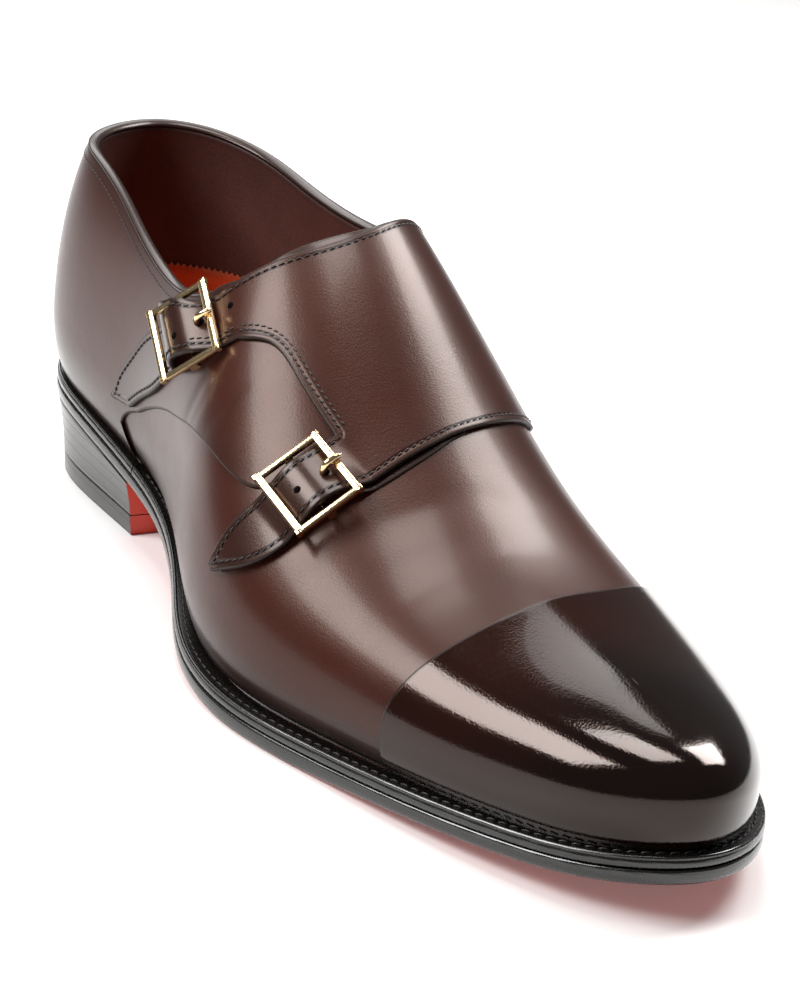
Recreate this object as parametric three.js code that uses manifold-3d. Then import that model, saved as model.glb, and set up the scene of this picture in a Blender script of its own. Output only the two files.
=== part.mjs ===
// Double monk strap shoe for the right foot. Millimetres, +Z up.
// The toe points to -Y and the outer (lateral) side of the foot is -X.
// The origin is on the floor, under the middle of the heel.
import * as THREE from "three";
import Module from "manifold-3d";

const wasm = await Module();
wasm.setup();

// ---------------------------------------------------------------- driving dimensions
const HEEL_CENTRE = 38; // from the back of the heel to the origin
const BREAST = 78; // length of the heel, to its front face
const HEEL_TAPER = 3.2; // how much the heel narrows down to the floor
const TOP_PIECE = 6; // thickness of the replaceable bottom layer of the heel
const WELT = 2.6;
const INSOLE = 3.4;
const WALL = 2.2; // leather and lining together
const GAP = 0.3; // clearance between pieces that meet
const OVERLAY_GAP = 0.4; // clearance under a piece that lies on the upper
const CAP_THICK = 1.2;
const STRAP_THICK = 1.8;
const TONGUE_THICK = 1.6;
const TONGUE_GAP = 0.9; // clearance between the upper's lining and the tongue
const RINGS = 80; // columns of the upper around the foot
const CROWN_ROWS = 11;
const LOW_ANGLE = -58; // angle of the surface where it meets the welt
const THROAT = 7.5; // station where the front slot of the upper closes
const FRAME = { length: 18.5, width: 20.8, bar: 2.0, thick: 1.6, height: 3.45 };
const PRONG_RADIUS = 0.75;
const FOOT_AXIS = 30; // height of a line inside the foot that every skin faces away from

// ---------------------------------------------------------------- tables
function table(names, rows) {
  const keys = names.split(" ");
  return rows.map((row) => Object.fromEntries(keys.map((key, i) => [key, row[i]])));
}

// One row per section of the last. The section plane stands upright on the spine and turns
// around the toe and the heel. Widths are from the spine to the feather line, the swell is
// the widest place above it, and the ridge is the top of the section.
const LAST = table(
  "spine sway turn lateral medial swellL swellM swellHeight ridge leanL leanM",
  [
    [36, -2.6, -90, 34.9, 34.9, 3.4, 3.4, 20.5, 124.0, -0.08, -0.08],
    [37, -3.2, -58, 34.6, 32.4, 3.7, 3.0, 19.6, 124.0, -0.08, -0.08],
    [41, -3.6, -28, 34.4, 31.4, 3.9, 2.9, 18.7, 124.0, -0.07, -0.07],
    [54, -2.8, -8, 33.1, 30.6, 3.8, 3.0, 18.2, 123.6, -0.02, 0.0],
    [78, -1.4, 0, 32.1, 28.4, 4.6, 4.7, 18.6, 122.4, -0.04, 0.06],
    [104, -0.5, 0, 34.0, 26.9, 5.4, 7.6, 19.4, 118.6, -0.06, 0.1],
    [130, -0.6, 0, 40.2, 29.5, 4.6, 9.0, 19.0, 108.0, -0.04, 0.12],
    [156, -1.2, 0, 47.6, 36.6, 3.4, 7.4, 17.5, 90.0, 0.1, 0.14],
    [182, -0.8, 2, 48.8, 42.5, 3.2, 4.1, 14.4, 68.6, 0.18, 0.12],
    [206, 1.8, 8, 43.8, 44.3, 3.1, 1.8, 11.6, 53.0, 0.08, 0.06],
    [228, 3.2, 20, 37.8, 42.0, 2.6, 0.8, 9.8, 45.2, 0.0, 0.0],
    [246, 3.9, 36, 32.7, 37.9, 2.2, 0.6, 9.4, 41.9, -0.08, -0.08],
    [258, 4.0, 58, 30.2, 34.5, 2.1, 1.0, 10.1, 40.6, -0.12, -0.12],
    [263, 4.5, 90, 32.2, 32.2, 2.0, 2.0, 11.4, 40.0, -0.14, -0.14],
  ],
);

// Side profile of the bottom: height of the feather line and of the sole's underside.
const PROFILE = table("at feather under", [
  [0, 33.0, 26.0],
  [40, 29.3, 22.3],
  [72, 24.8, 17.8],
  [100, 19.9, 12.9],
  [130, 13.5, 6.5],
  [155, 9.5, 2.3],
  [175, 7.9, 0.5],
  [195, 7.4, -0.2],
  [215, 7.9, 0.5],
  [240, 9.6, 2.6],
  [265, 11.8, 4.8],
  [285, 14.6, 7.6],
  [300, 18.2, 11.0],
]);

// How far the sole's edge stands out from the feather line.
const EDGE = table("at out", [
  [0, 3.0],
  [45, 2.8],
  [80, 3.4],
  [110, 3.0],
  [150, 4.2],
  [190, 5.6],
  [240, 5.8],
  [300, 6.4],
]);

// Height of the topline, on the outer and inner side of the foot.
const TOPLINE = table("station lateral medial", [
  [0, 96.5, 96.5],
  [0.8, 96.4, 95.6],
  [1.6, 96.0, 93.4],
  [2.6, 94.0, 90.0],
  [3.2, 89.6, 88.4],
  [3.7, 84.2, 88.0],
  [4.2, 80.2, 88.4],
  [4.7, 78.6, 89.6],
  [5.2, 79.8, 92.0],
  [5.6, 83.6, 95.0],
  [5.9, 88.5, 98.5],
  [6.2, 93.0, 100.0],
  [6.6, 93.5, 95.5],
  [7.1, 86.0, 86.5],
  [7.5, 79.5, 79.5],
]);

// Guide lines of the flap and its two straps, as [station, angle over the instep] pairs.
// They start at the inner end, cross the ridge at 90 and run down the outer side. The back
// and notch lines bound the upper strap, the gap and front lines bound the lower strap.
const FLAP = {
  back: [[5.58, 140], [5.92, 116], [6.3, 90], [6.27, 66], [5.8, 40], [5.52, 33.3], [5.21, 27.5],
    [4.86, 21.6], [4.48, 16], [4.18, 9.5], [3.93, 3], [3.78, -6]],
  notch: [[6.03, 140], [6.4, 116], [6.75, 90], [6.8, 68], [6.43, 43], [5.98, 29.2], [5.63, 22.1],
    [5.28, 15.7], [4.95, 9.5], [4.55, 4], [4.15, -2.5], [3.85, -9]],
  innerA: [[6.4, 140], [6.75, 116], [7.08, 90], [7.13, 70], [6.72, 50]],
  innerB: [[6.8, 140], [7.15, 116], [7.45, 90], [7.5, 71], [7.2, 54]],
  gap: [[7.15, 140], [7.5, 116], [7.75, 90], [7.82, 72], [7.74, 57], [7.73, 47.1], [7.71, 38],
    [7.67, 31], [7.6, 23], [7.57, 16], [7.56, 11]],
  front: [[7.46, 140], [7.84, 116], [8.1, 90], [8.18, 74], [8.22, 60], [8.2, 49.5], [8.18, 39],
    [8.13, 29], [7.98, 20.5], [7.78, 14.5], [7.62, 10.5]],
};

// Back edge of the tongue over the instep, and line of the toe cap across the foot: how far
// it lies from the back of the heel.
const TONGUE_EDGE = table("angle station", [
  [52, 5.93],
  [69, 6.06],
  [90, 6.14],
  [111, 6.02],
  [128, 5.86],
]);
const CAP_LINE = table("across along", [
  [-38, 232.6],
  [-30, 233.8],
  [-21, 234.0],
  [-10, 232.8],
  [0, 231.1],
  [10, 229.4],
  [20, 227.0],
  [30, 222.4],
  [40, 216.8],
  [47, 213.4],
]);

// Middle of each buckle, a second place further along its strap, its height above the
// upper, and how it leans on its strap (towards the toe, upwards).
const BUCKLES = [
  { name: "upper", at: [5.66, 29.4], towards: [6.12, 39.6], above: 2.8, lean: [0.24, 0.17] },
  { name: "lower", at: [7.96, 45.0], towards: [7.97, 55.0], above: 1.1, lean: [0, 0.04] },
];

// ---------------------------------------------------------------- smooth curves
function solve(matrix, right) {
  const n = right.length;
  const a = matrix.map((row, i) => [...row, right[i]]);
  for (let i = 0; i < n; i += 1) {
    let best = i;
    for (let r = i + 1; r < n; r += 1) {
      if (Math.abs(a[r][i]) > Math.abs(a[best][i])) best = r;
    }
    [a[i], a[best]] = [a[best], a[i]];
    for (let r = 0; r < n; r += 1) {
      if (r === i) continue;
      const f = a[r][i] / a[i][i];
      for (let c = i; c <= n; c += 1) a[r][c] -= f * a[i][c];
    }
  }
  return a.map((row, i) => row[n] / row[i]);
}

// Cubic spline through the points, natural at its ends or closed on itself.
// It returns the value, and the slope in its second form.
function spline(xs, ys, closed = false) {
  const n = xs.length;
  const m = closed ? n - 1 : n;
  const h = (i) => xs[i + 1] - xs[i];
  const d = (i) => (ys[i + 1] - ys[i]) / h(i);
  const rows = [];
  const right = [];
  for (let i = 0; i < m; i += 1) {
    const row = new Array(m).fill(0);
    if (!closed && (i === 0 || i === n - 1)) {
      row[i] = 1;
      right.push(0);
    } else {
      const before = i === 0 ? n - 2 : i - 1;
      row[(i - 1 + m) % m] += h(before);
      row[i] += 2 * (h(before) + h(i));
      row[(i + 1) % m] += h(i);
      right.push(6 * (d(i) - d(before)));
    }
    rows.push(row);
  }
  const bend = solve(rows, right);
  if (closed) bend.push(bend[0]);
  const evaluate = (x, slope) => {
    let i = 0;
    while (i < n - 2 && x > xs[i + 1]) i += 1;
    const a = (xs[i + 1] - x) / h(i);
    const b = 1 - a;
    if (slope) {
      return d(i) + (h(i) / 6) * ((3 * b * b - 1) * bend[i + 1] - (3 * a * a - 1) * bend[i]);
    }
    const cubic = (a ** 3 - a) * bend[i] + (b ** 3 - b) * bend[i + 1];
    return a * ys[i] + b * ys[i + 1] + (h(i) ** 2 / 6) * cubic;
  };
  return { at: (x) => evaluate(x, false), slope: (x) => evaluate(x, true) };
}

const column = (rows, key) => rows.map((row) => row[key]);
const curve = (rows, x, y) => spline(column(rows, x), column(rows, y));
const featherAt = curve(PROFILE, "at", "feather");
const underCurve = curve(PROFILE, "at", "under");
const underAt = (s) => Math.max(0, underCurve.at(s));
const edgeAt = curve(EDGE, "at", "out");
const ridgeAt = curve(LAST, "spine", "ridge");
const toplineAt = {
  lateral: curve(TOPLINE, "station", "lateral"),
  medial: curve(TOPLINE, "station", "medial"),
};
const tongueEdge = curve(TONGUE_EDGE, "angle", "station");
const capLine = curve(CAP_LINE, "across", "along");

// ---------------------------------------------------------------- surface of the last
// Stations run 0..TOE along the outer side and back along the inner side to 2 * TOE.
const TOE = LAST.length - 1;
const LOOP = 2 * TOE;
const rad = THREE.MathUtils.degToRad;

function featurePoint(station) {
  const inner = station > TOE;
  const row = LAST[inner ? LOOP - station : station];
  const sign = inner ? 1 : -1;
  const across = [sign * Math.cos(rad(row.turn)), Math.sin(rad(row.turn))];
  const width = inner ? row.medial : row.lateral;
  const swell = width + (inner ? row.swellM : row.swellL);
  const fy = row.spine + across[1] * width;
  const base = featherAt.at(fy);
  return {
    fx: row.sway + across[0] * width,
    fy,
    bx: row.sway + across[0] * swell,
    by: row.spine + across[1] * swell,
    bz: base + row.swellHeight,
    fz: base,
    tx: row.sway,
    ty: row.spine,
    tz: row.ridge,
    lean: inner ? row.leanM : row.leanL,
  };
}

const ring = [];
for (let i = 0; i <= LOOP; i += 1) ring.push(featurePoint(i % LOOP));
const ringCurves = {};
for (const key of Object.keys(ring[0])) {
  ringCurves[key] = spline(ring.map((_, i) => i), column(ring, key), true);
}
const wrap = (u) => ((u % LOOP) + LOOP) % LOOP;
const ringValue = (key, u) => ringCurves[key].at(wrap(u));

// A point of the outer surface: station u, and angle from the feather line (LOW_ANGLE)
// through the widest place (0) to the ridge (90).
function lastPoint(u, angle) {
  const v = {};
  for (const key of Object.keys(ringCurves)) v[key] = ringValue(key, u);
  const a = rad(angle);
  let x;
  let y;
  let z;
  if (angle < 0) {
    const low = Math.cos(rad(LOW_ANGLE));
    const q = (Math.cos(a) - low) / (1 - low);
    x = v.fx + (v.bx - v.fx) * q;
    y = v.fy + (v.by - v.fy) * q;
    z = v.bz + ((v.bz - v.fz) * Math.sin(a)) / Math.sin(rad(-LOW_ANGLE));
  } else {
    const reach = Math.cos(a) * (1 - v.lean * Math.sin(a) ** 2);
    x = v.tx + (v.bx - v.tx) * reach;
    y = v.ty + (v.by - v.ty) * reach;
    const follow = ridgeAt.slope(v.ty) * (y - v.ty) * (1 - reach * reach) ** 2;
    z = v.bz + (v.tz - v.bz) * Math.sin(a) + follow;
  }
  return new THREE.Vector3(x, HEEL_CENTRE - y, z);
}

// The same surface with one angle that runs from the outer feather line over the ridge (90)
// to the inner one (180 - LOW_ANGLE).
function overFoot(station, angle) {
  return angle <= 90 ? lastPoint(station, angle) : lastPoint(LOOP - station, 180 - angle);
}

// A point beside the feather line: out is measured square to it, outwards.
function beside(u, out, z) {
  const w = wrap(u);
  const tx = ringCurves.fx.slope(w);
  const ty = ringCurves.fy.slope(w);
  const l = Math.hypot(tx, ty);
  const x = ringValue("fx", w) - (ty / l) * out;
  const y = ringValue("fy", w) + (tx / l) * out;
  return new THREE.Vector3(x, HEEL_CENTRE - y, z);
}

// ---------------------------------------------------------------- mesh builders
// Collects triangles, merges equal corners and drops the triangles that fold flat.
class Skin {
  constructor() {
    this.points = [];
    this.faces = [];
    this.found = new Map();
  }

  point(p) {
    const key = [p.x, p.y, p.z].map((c) => Math.round(c * 2000)).join(",");
    if (!this.found.has(key)) {
      this.found.set(key, this.points.length);
      this.points.push(p.clone());
    }
    return this.found.get(key);
  }

  triangle(a, b, c) {
    if (a !== b && b !== c && c !== a) this.faces.push([a, b, c]);
  }

  quad(a, b, c, d) {
    this.triangle(a, b, c);
    this.triangle(a, c, d);
  }

  geometry() {
    const geometry = new THREE.BufferGeometry();
    const flat = this.points.flatMap((p) => [p.x, p.y, p.z]);
    geometry.setAttribute("position", new THREE.Float32BufferAttribute(flat, 3));
    let volume = 0;
    for (const [a, b, c] of this.faces) {
      const cross = this.points[b].clone().cross(this.points[c]);
      volume += this.points[a].dot(cross);
    }
    const faces = volume > 0 ? this.faces : this.faces.map(([a, b, c]) => [a, c, b]);
    geometry.setIndex(faces.flat());
    geometry.computeVertexNormals();
    return geometry;
  }
}

// A leather-like shell on a grid of surface points, between two offsets from that surface.
// place(i, j) gives the point, keep(i, j) says which cells exist.
function shell({ columns, rows, place, outer, inner, keep = () => true }) {
  const face = new Skin();
  const index = [];
  for (let i = 0; i <= columns; i += 1) {
    index.push([]);
    for (let j = 0; j <= rows; j += 1) {
      const needed = [[0, 0], [1, 0], [0, 1], [1, 1]].some(
        ([a, b]) => i - a >= 0 && j - b >= 0 && i - a < columns && j - b < rows && keep(i - a, j - b),
      );
      index[i].push(needed ? face.point(place(i, j)) : -1);
    }
  }
  for (let i = 0; i < columns; i += 1) {
    for (let j = 0; j < rows; j += 1) {
      if (keep(i, j)) face.quad(index[i][j], index[i + 1][j], index[i + 1][j + 1], index[i][j + 1]);
    }
  }
  const normals = face.points.map(() => new THREE.Vector3());
  let facing = 0;
  for (const [a, b, c] of face.faces) {
    const ab = face.points[b].clone().sub(face.points[a]);
    const ac = face.points[c].clone().sub(face.points[a]);
    const n = ab.cross(ac);
    const { x, z } = face.points[a];
    facing += n.x * x + n.z * (z - FOOT_AXIS);
    for (const corner of [a, b, c]) normals[corner].add(n);
  }
  if (facing < 0) {
    face.faces.forEach((corners) => corners.reverse());
    normals.forEach((n) => n.negate());
  }
  const skin = new Skin();
  const shift = (offset) => face.points.map(
    (p, k) => p.clone().addScaledVector(normals[k].clone().normalize(), offset),
  );
  const outside = shift(outer).map((p) => skin.point(p));
  const inside = shift(inner).map((p) => skin.point(p));
  const edges = new Map();
  for (const [a, b, c] of face.faces) {
    skin.triangle(outside[a], outside[b], outside[c]);
    skin.triangle(inside[a], inside[c], inside[b]);
    for (const [p, q] of [[a, b], [b, c], [c, a]]) {
      if (edges.has(`${q}-${p}`)) edges.delete(`${q}-${p}`);
      else edges.set(`${p}-${q}`, [p, q]);
    }
  }
  for (const [p, q] of edges.values()) skin.quad(outside[q], outside[p], inside[p], inside[q]);
  return skin.geometry();
}

// A solid through a row of closed sections that all have the same number of corners.
function loft(sections) {
  const skin = new Skin();
  const index = sections.map((section) => section.map((p) => skin.point(p)));
  const count = sections[0].length;
  for (let j = 0; j + 1 < index.length; j += 1) {
    for (let k = 0; k < count; k += 1) {
      const next = (k + 1) % count;
      skin.quad(index[j][k], index[j + 1][k], index[j + 1][next], index[j][next]);
    }
  }
  const last = index.length - 1;
  for (let k = 1; k + 1 < count; k += 1) {
    skin.triangle(index[0][0], index[0][k], index[0][k + 1]);
    skin.triangle(index[last][0], index[last][k + 1], index[last][k]);
  }
  return skin.geometry();
}

function toSolid(geometry) {
  return new wasm.Manifold(new wasm.Mesh({
    numProp: 3,
    vertProperties: Float32Array.from(geometry.getAttribute("position").array),
    triVerts: Uint32Array.from(geometry.getIndex().array),
  }));
}

function fromSolid(solid) {
  const mesh = solid.getMesh();
  const geometry = new THREE.BufferGeometry();
  geometry.setAttribute("position", new THREE.Float32BufferAttribute(mesh.vertProperties, 3));
  geometry.setIndex(Array.from(mesh.triVerts));
  geometry.computeVertexNormals();
  return geometry;
}

const LEATHER = { color: 0x4a2519, roughness: 0.32, metalness: 0 };
const CAP_LEATHER = { color: 0x24100b, roughness: 0.14, metalness: 0 };
const SOLE_EDGE = { color: 0x150f0d, roughness: 0.25, metalness: 0 };
const OUTSOLE_LEATHER = { color: 0xb8331a, roughness: 0.45, metalness: 0 };
const HEEL_LEATHER = { color: 0x2a2120, roughness: 0.4, metalness: 0 };
const SOCK_LEATHER = { color: 0xc4561f, roughness: 0.6, metalness: 0 };
const GOLD = { color: 0xd9b77a, roughness: 0.22, metalness: 1 };

const shoe = new THREE.Group();
function add(name, geometry, look) {
  const mesh = new THREE.Mesh(geometry, new THREE.MeshStandardMaterial(look));
  mesh.name = name;
  shoe.add(mesh);
  return mesh;
}

// ---------------------------------------------------------------- upper
// Angle at which the upper ends: the ridge in front of the throat, the topline behind it.
function endAngle(u) {
  const inner = u > TOE;
  const station = inner ? LOOP - u : u;
  if (station >= THROAT) return 90;
  const height = toplineAt[inner ? "medial" : "lateral"].at(station);
  let low = 0;
  let high = 89;
  for (let k = 0; k < 40; k += 1) {
    const middle = (low + high) / 2;
    if (lastPoint(u, middle).z < height) low = middle;
    else high = middle;
  }
  return low;
}

const LOW_ROWS = [LOW_ANGLE, -40, -20, 0];
const ends = [];
for (let i = 0; i < RINGS; i += 1) ends.push(endAngle((LOOP * i) / RINGS));

add("upper", shell({
  columns: RINGS,
  rows: LOW_ROWS.length - 1 + CROWN_ROWS,
  place: (i, j) => {
    const k = i % RINGS;
    const crown = j - LOW_ROWS.length + 1;
    const angle = crown <= 0 ? LOW_ROWS[j] : (ends[k] * crown) / CROWN_ROWS;
    return lastPoint((LOOP * k) / RINGS, angle);
  },
  outer: 0,
  inner: -WALL,
}), LEATHER);

// ---------------------------------------------------------------- bottom
const weltTop = (s) => featherAt.at(s) - GAP;
const weltUnder = (s) => weltTop(s) - WELT;
const soleTop = (s) => weltUnder(s) - GAP;
const footAt = (u) => ringValue("fy", u);

// A slab between matching places of the outer and inner side, from the heel to the toe.
function slab(out, top, under, steps) {
  const sections = [];
  for (let j = 0; j <= steps; j += 1) {
    const u = (TOE * j) / steps;
    const left = footAt(u);
    const right = footAt(LOOP - u);
    sections.push([
      beside(u, out(left), top(left)),
      beside(LOOP - u, out(right), top(right)),
      beside(LOOP - u, out(right), under(right)),
      beside(u, out(left), under(left)),
    ]);
  }
  return loft(sections);
}

add("outsole", slab((s) => edgeAt.at(s), soleTop, underAt, 52), OUTSOLE_LEATHER);
add("insole", slab(
  () => -(WALL + 1.0),
  (s) => soleTop(s) + GAP + INSOLE,
  (s) => soleTop(s) + GAP,
  52,
), SOCK_LEATHER);

// The welt and the heel rand are one ring around the feather line, cut near the heel's front.
function ringStrip(from, to, steps) {
  const sections = [];
  for (let j = 0; j <= steps; j += 1) {
    const u = from + ((to - from) * j) / steps;
    const s = footAt(u);
    const out = edgeAt.at(s);
    const middle = (weltTop(s) + weltUnder(s)) / 2;
    sections.push([
      beside(u, -(WALL + GAP), weltTop(s)),
      beside(u, out - 0.7, weltTop(s)),
      beside(u, out, middle + 0.5),
      beside(u, out, middle - 0.7),
      beside(u, out - 0.4, weltUnder(s)),
      beside(u, -(WALL + GAP), weltUnder(s)),
    ]);
  }
  return loft(sections);
}

const JOINT = 4.15; // station of the joint between the welt and the rand
add("welt", ringStrip(JOINT, LOOP - JOINT, 72), SOLE_EDGE);
add("heel_rand", ringStrip(-JOINT + 0.02, JOINT - 0.02, 32), SOLE_EDGE);

// ---------------------------------------------------------------- heel
function stationAtLength(inner) {
  let low = 1;
  let high = 8;
  for (let k = 0; k < 40; k += 1) {
    const middle = (low + high) / 2;
    if (footAt(inner ? LOOP - middle : middle) < BREAST) low = middle;
    else high = middle;
  }
  return low;
}

const breastStation = { lateral: stationAtLength(false), medial: stationAtLength(true) };
const BREAST_RAKE = 2.2;

// A layer of the heel. level 0 is the floor and 1 is the seat under the sole.
function heelLayer(top, under) {
  const sections = [];
  const steps = 24;
  for (let j = 0; j <= steps; j += 1) {
    const corners = [];
    for (const side of ["lateral", "medial"]) {
      const station = (breastStation[side] * j) / steps;
      const u = side === "lateral" ? station : LOOP - station;
      const s = footAt(u);
      for (const height of [top(s), under(s)]) {
        const level = Math.min(1, height / underAt(s));
        const out = edgeAt.at(s) - 0.4 - HEEL_TAPER * (1 - level);
        const p = beside(u, out, height);
        if (j === steps) p.y = HEEL_CENTRE - BREAST + BREAST_RAKE * (1 - level);
        corners.push(p);
      }
    }
    const [leftTop, leftUnder, rightTop, rightUnder] = corners;
    sections.push([leftTop, rightTop, rightUnder, leftUnder]);
  }
  return loft(sections);
}

add("heel_stack", heelLayer((s) => underAt(s) - GAP, () => TOP_PIECE + GAP), HEEL_LEATHER);
add("heel_top_piece", heelLayer(() => TOP_PIECE, () => 0), HEEL_LEATHER);

// ---------------------------------------------------------------- tongue
const TONGUE_FRONT = 7.95;
add("tongue", shell({
  columns: 12,
  rows: 18,
  place: (i, j) => {
    const angle = 52 + (76 * j) / 18;
    const back = tongueEdge.at(angle);
    return overFoot(back + ((TONGUE_FRONT - back) * i) / 12, angle);
  },
  outer: -(WALL + TONGUE_GAP),
  inner: -(WALL + TONGUE_GAP + TONGUE_THICK),
}), LEATHER);

// ---------------------------------------------------------------- toe cap
// It shares the upper's columns in front of its own line, so the two skins run side by side.
const capSide = [-50, ...LOW_ROWS.slice(1)];
for (let k = 1; k <= CROWN_ROWS; k += 1) capSide.push((90 * k) / CROWN_ROWS);
const capAngles = [...capSide, ...capSide.slice(0, -1).reverse().map((a) => 180 - a)];
const SHARED = 8;
const LINE_COLUMNS = 3;

// Station where the cap's line crosses the surface at this angle.
function capStation(angle) {
  let low = 8.2;
  let high = 11.2;
  for (let k = 0; k < 40; k += 1) {
    const middle = (low + high) / 2;
    const p = overFoot(middle, angle);
    const x = THREE.MathUtils.clamp(p.x, -38, 47);
    if (HEEL_CENTRE - p.y < capLine.at(x)) low = middle;
    else high = middle;
  }
  return low;
}

add("toe_cap", shell({
  columns: LINE_COLUMNS + SHARED,
  rows: capAngles.length - 1,
  place: (i, j) => {
    const line = capStation(capAngles[j]);
    const first = TOE - (SHARED * LOOP) / RINGS;
    const station = i < LINE_COLUMNS
      ? line + ((first - line) * i) / LINE_COLUMNS
      : first + ((i - LINE_COLUMNS) * LOOP) / RINGS;
    return overFoot(station, capAngles[j]);
  },
  outer: OVERLAY_GAP + CAP_THICK,
  inner: OVERLAY_GAP,
}), CAP_LEATHER);

// ---------------------------------------------------------------- back tab
add("back_tab", shell({
  columns: 4,
  rows: 5,
  place: (i, j) => {
    const u = -0.3 + (0.6 * i) / 4;
    const top = endAngle(wrap(u));
    return lastPoint(u, top - 14 + (14 * j) / 5);
  },
  outer: OVERLAY_GAP + CAP_THICK,
  inner: OVERLAY_GAP,
}), LEATHER);

// ---------------------------------------------------------------- buckles
// Each buckle has its own directions: along its strap, across it, and off the leather.
function surfaceNormal(station, angle) {
  const p = overFoot(station, angle);
  const du = overFoot(station + 0.02, angle).sub(p);
  const da = overFoot(station, angle + 0.2).sub(p);
  return du.cross(da).normalize();
}

const buckles = BUCKLES.map(({ name, at, towards, above, lean }) => {
  const off = surfaceNormal(...at);
  const centre = overFoot(...at).addScaledVector(off, above);
  off.add(new THREE.Vector3(0, -lean[0], lean[1])).normalize();
  const along = overFoot(...towards).sub(centre);
  along.addScaledVector(off, -along.dot(off)).normalize();
  const across = off.clone().cross(along);
  return { name, centre, off, along, across };
});

const LIFT = 2.05; // how far each strap rises over the middle bar of its buckle
const fade = (x, full, none) => THREE.MathUtils.smoothstep(none - Math.abs(x), 0, none - full);

// The straps lie flat in their buckles' planes, and rise over the middle bars.
function throughBuckles(p) {
  const q = p.clone();
  for (const { centre, along, across, off } of buckles) {
    const d = p.clone().sub(centre);
    const a = d.dot(along);
    const share = fade(a, 10, 20) * fade(d.dot(across), 12, 17) * fade(d.dot(off), 8, 12);
    const rise = Math.abs(a) < 7.2 ? LIFT * Math.cos((Math.PI * a) / 14.4) ** 2 : 0;
    q.addScaledVector(off, share * Math.max(0, rise - d.dot(off)));
  }
  return q;
}

// ---------------------------------------------------------------- flap with two straps
const guides = {};
for (const [name, line] of Object.entries(FLAP)) {
  const rows = line.map((_, i) => i);
  guides[name] = { station: spline(rows, column(line, 0)), angle: spline(rows, column(line, 1)) };
}
const onGuide = (name, r) => [guides[name].station.at(r), guides[name].angle.at(r)];
const blend = (p, q, f) => p.map((value, k) => value + (q[k] - value) * f);

const BODY_ROWS = 16; // four rows for each guide point of the body
const UPPER_ROWS = 14;
const LOWER_ROWS = 12;
const PANELS = [
  { from: "back", to: "notch", cells: 4 },
  { from: "notch", to: "innerA", cells: 2 },
  { from: "innerA", to: "innerB", cells: 3 },
  { from: "innerB", to: "gap", cells: 3 },
  { from: "gap", to: "front", cells: 4 },
];

function flapPlace(i, j) {
  const r = j <= BODY_ROWS ? j / 4 : 4 + (j - BODY_ROWS) / 2;
  let first = 0;
  for (const { from, to, cells } of PANELS) {
    const last = first + cells;
    if (i < last || (i === last && (to === "front" || (to === "notch" && j > BODY_ROWS)))) {
      const place = blend(onGuide(from, r), onGuide(to, r), (i - first) / cells);
      return throughBuckles(overFoot(...place));
    }
    first = last;
  }
  throw new Error("outside the flap");
}

function flapCell(i, j) {
  if (j < BODY_ROWS) return true;
  if (i < 4) return j < BODY_ROWS + UPPER_ROWS;
  return i >= 12 && j < BODY_ROWS + LOWER_ROWS;
}

const flapSolid = toSolid(shell({
  columns: 16,
  rows: BODY_ROWS + UPPER_ROWS,
  place: flapPlace,
  keep: flapCell,
  outer: OVERLAY_GAP + STRAP_THICK,
  inner: OVERLAY_GAP,
}));

// A placed solid: x along the strap, y across it, z off the leather.
function placed(geometry, { centre, along, across, off }) {
  const matrix = new THREE.Matrix4().makeBasis(along, across, off).setPosition(centre);
  return geometry.applyMatrix4(matrix);
}

function bareBox(sx, sy, sz, x, y, z) {
  const skin = new Skin();
  const corner = (a, b, c) => skin.point(new THREE.Vector3(
    x + (a * sx) / 2,
    y + (b * sy) / 2,
    z + (c * sz) / 2,
  ));
  const lower = [corner(-1, -1, -1), corner(1, -1, -1), corner(1, 1, -1), corner(-1, 1, -1)];
  const upper = [corner(-1, -1, 1), corner(1, -1, 1), corner(1, 1, 1), corner(-1, 1, 1)];
  skin.quad(lower[3], lower[2], lower[1], lower[0]);
  skin.quad(upper[0], upper[1], upper[2], upper[3]);
  for (let k = 0; k < 4; k += 1) {
    const n = (k + 1) % 4;
    skin.quad(lower[k], lower[n], upper[n], upper[k]);
  }
  return skin.geometry();
}

// A round bar through a list of places, as a loft of 8-sided sections.
function bar(places, radius, sides = 8) {
  const path = places.map(([x, y, z]) => new THREE.Vector3(x, y, z));
  const sections = path.map((p, k) => {
    const ahead = path[Math.min(k + 1, path.length - 1)];
    const behind = path[Math.max(k - 1, 0)];
    const t = ahead.clone().sub(behind).normalize();
    const side = new THREE.Vector3(0, 1, 0).cross(t);
    if (side.length() < 0.1) side.set(1, 0, 0);
    side.normalize();
    const up = t.clone().cross(side);
    const section = [];
    for (let a = 0; a < sides; a += 1) {
      const turn = (2 * Math.PI * a) / sides;
      section.push(p.clone()
        .addScaledVector(side, radius * Math.cos(turn))
        .addScaledVector(up, radius * Math.sin(turn)));
    }
    return section;
  });
  return loft(sections);
}

const PIN = 0.7; // radius of the middle bar
const PIN_HEIGHT = 1.1;

function buckleFrame() {
  const { length, width, bar: size, thick, height } = FRAME;
  const solids = [];
  for (const side of [-1, 1]) {
    solids.push(bareBox(size, width, thick, (side * (length - size)) / 2, 0, height));
    solids.push(bareBox(length, size, thick, 0, (side * (width - size)) / 2, height));
    const low = PIN_HEIGHT - PIN;
    const tall = height - low;
    solids.push(bareBox(2.4, size, tall, 0, (side * (width - size)) / 2, low + tall / 2));
  }
  solids.push(bar([[0, -width / 2 + 0.5, PIN_HEIGHT], [0, width / 2 - 0.5, PIN_HEIGHT]], PIN));
  return solids.map(toSolid).reduce((whole, solid) => whole.add(solid));
}

const prongPath = [[1.75, 0, 1.3], [2.5, 0, 2.4], [3.3, 0, 4.0], [4.4, 0, 5.2], [6.0, 0, 5.45],
  [7.4, 0, 5.3], [8.8, 0, 5.3], [9.6, 0, 5.2]];

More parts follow.
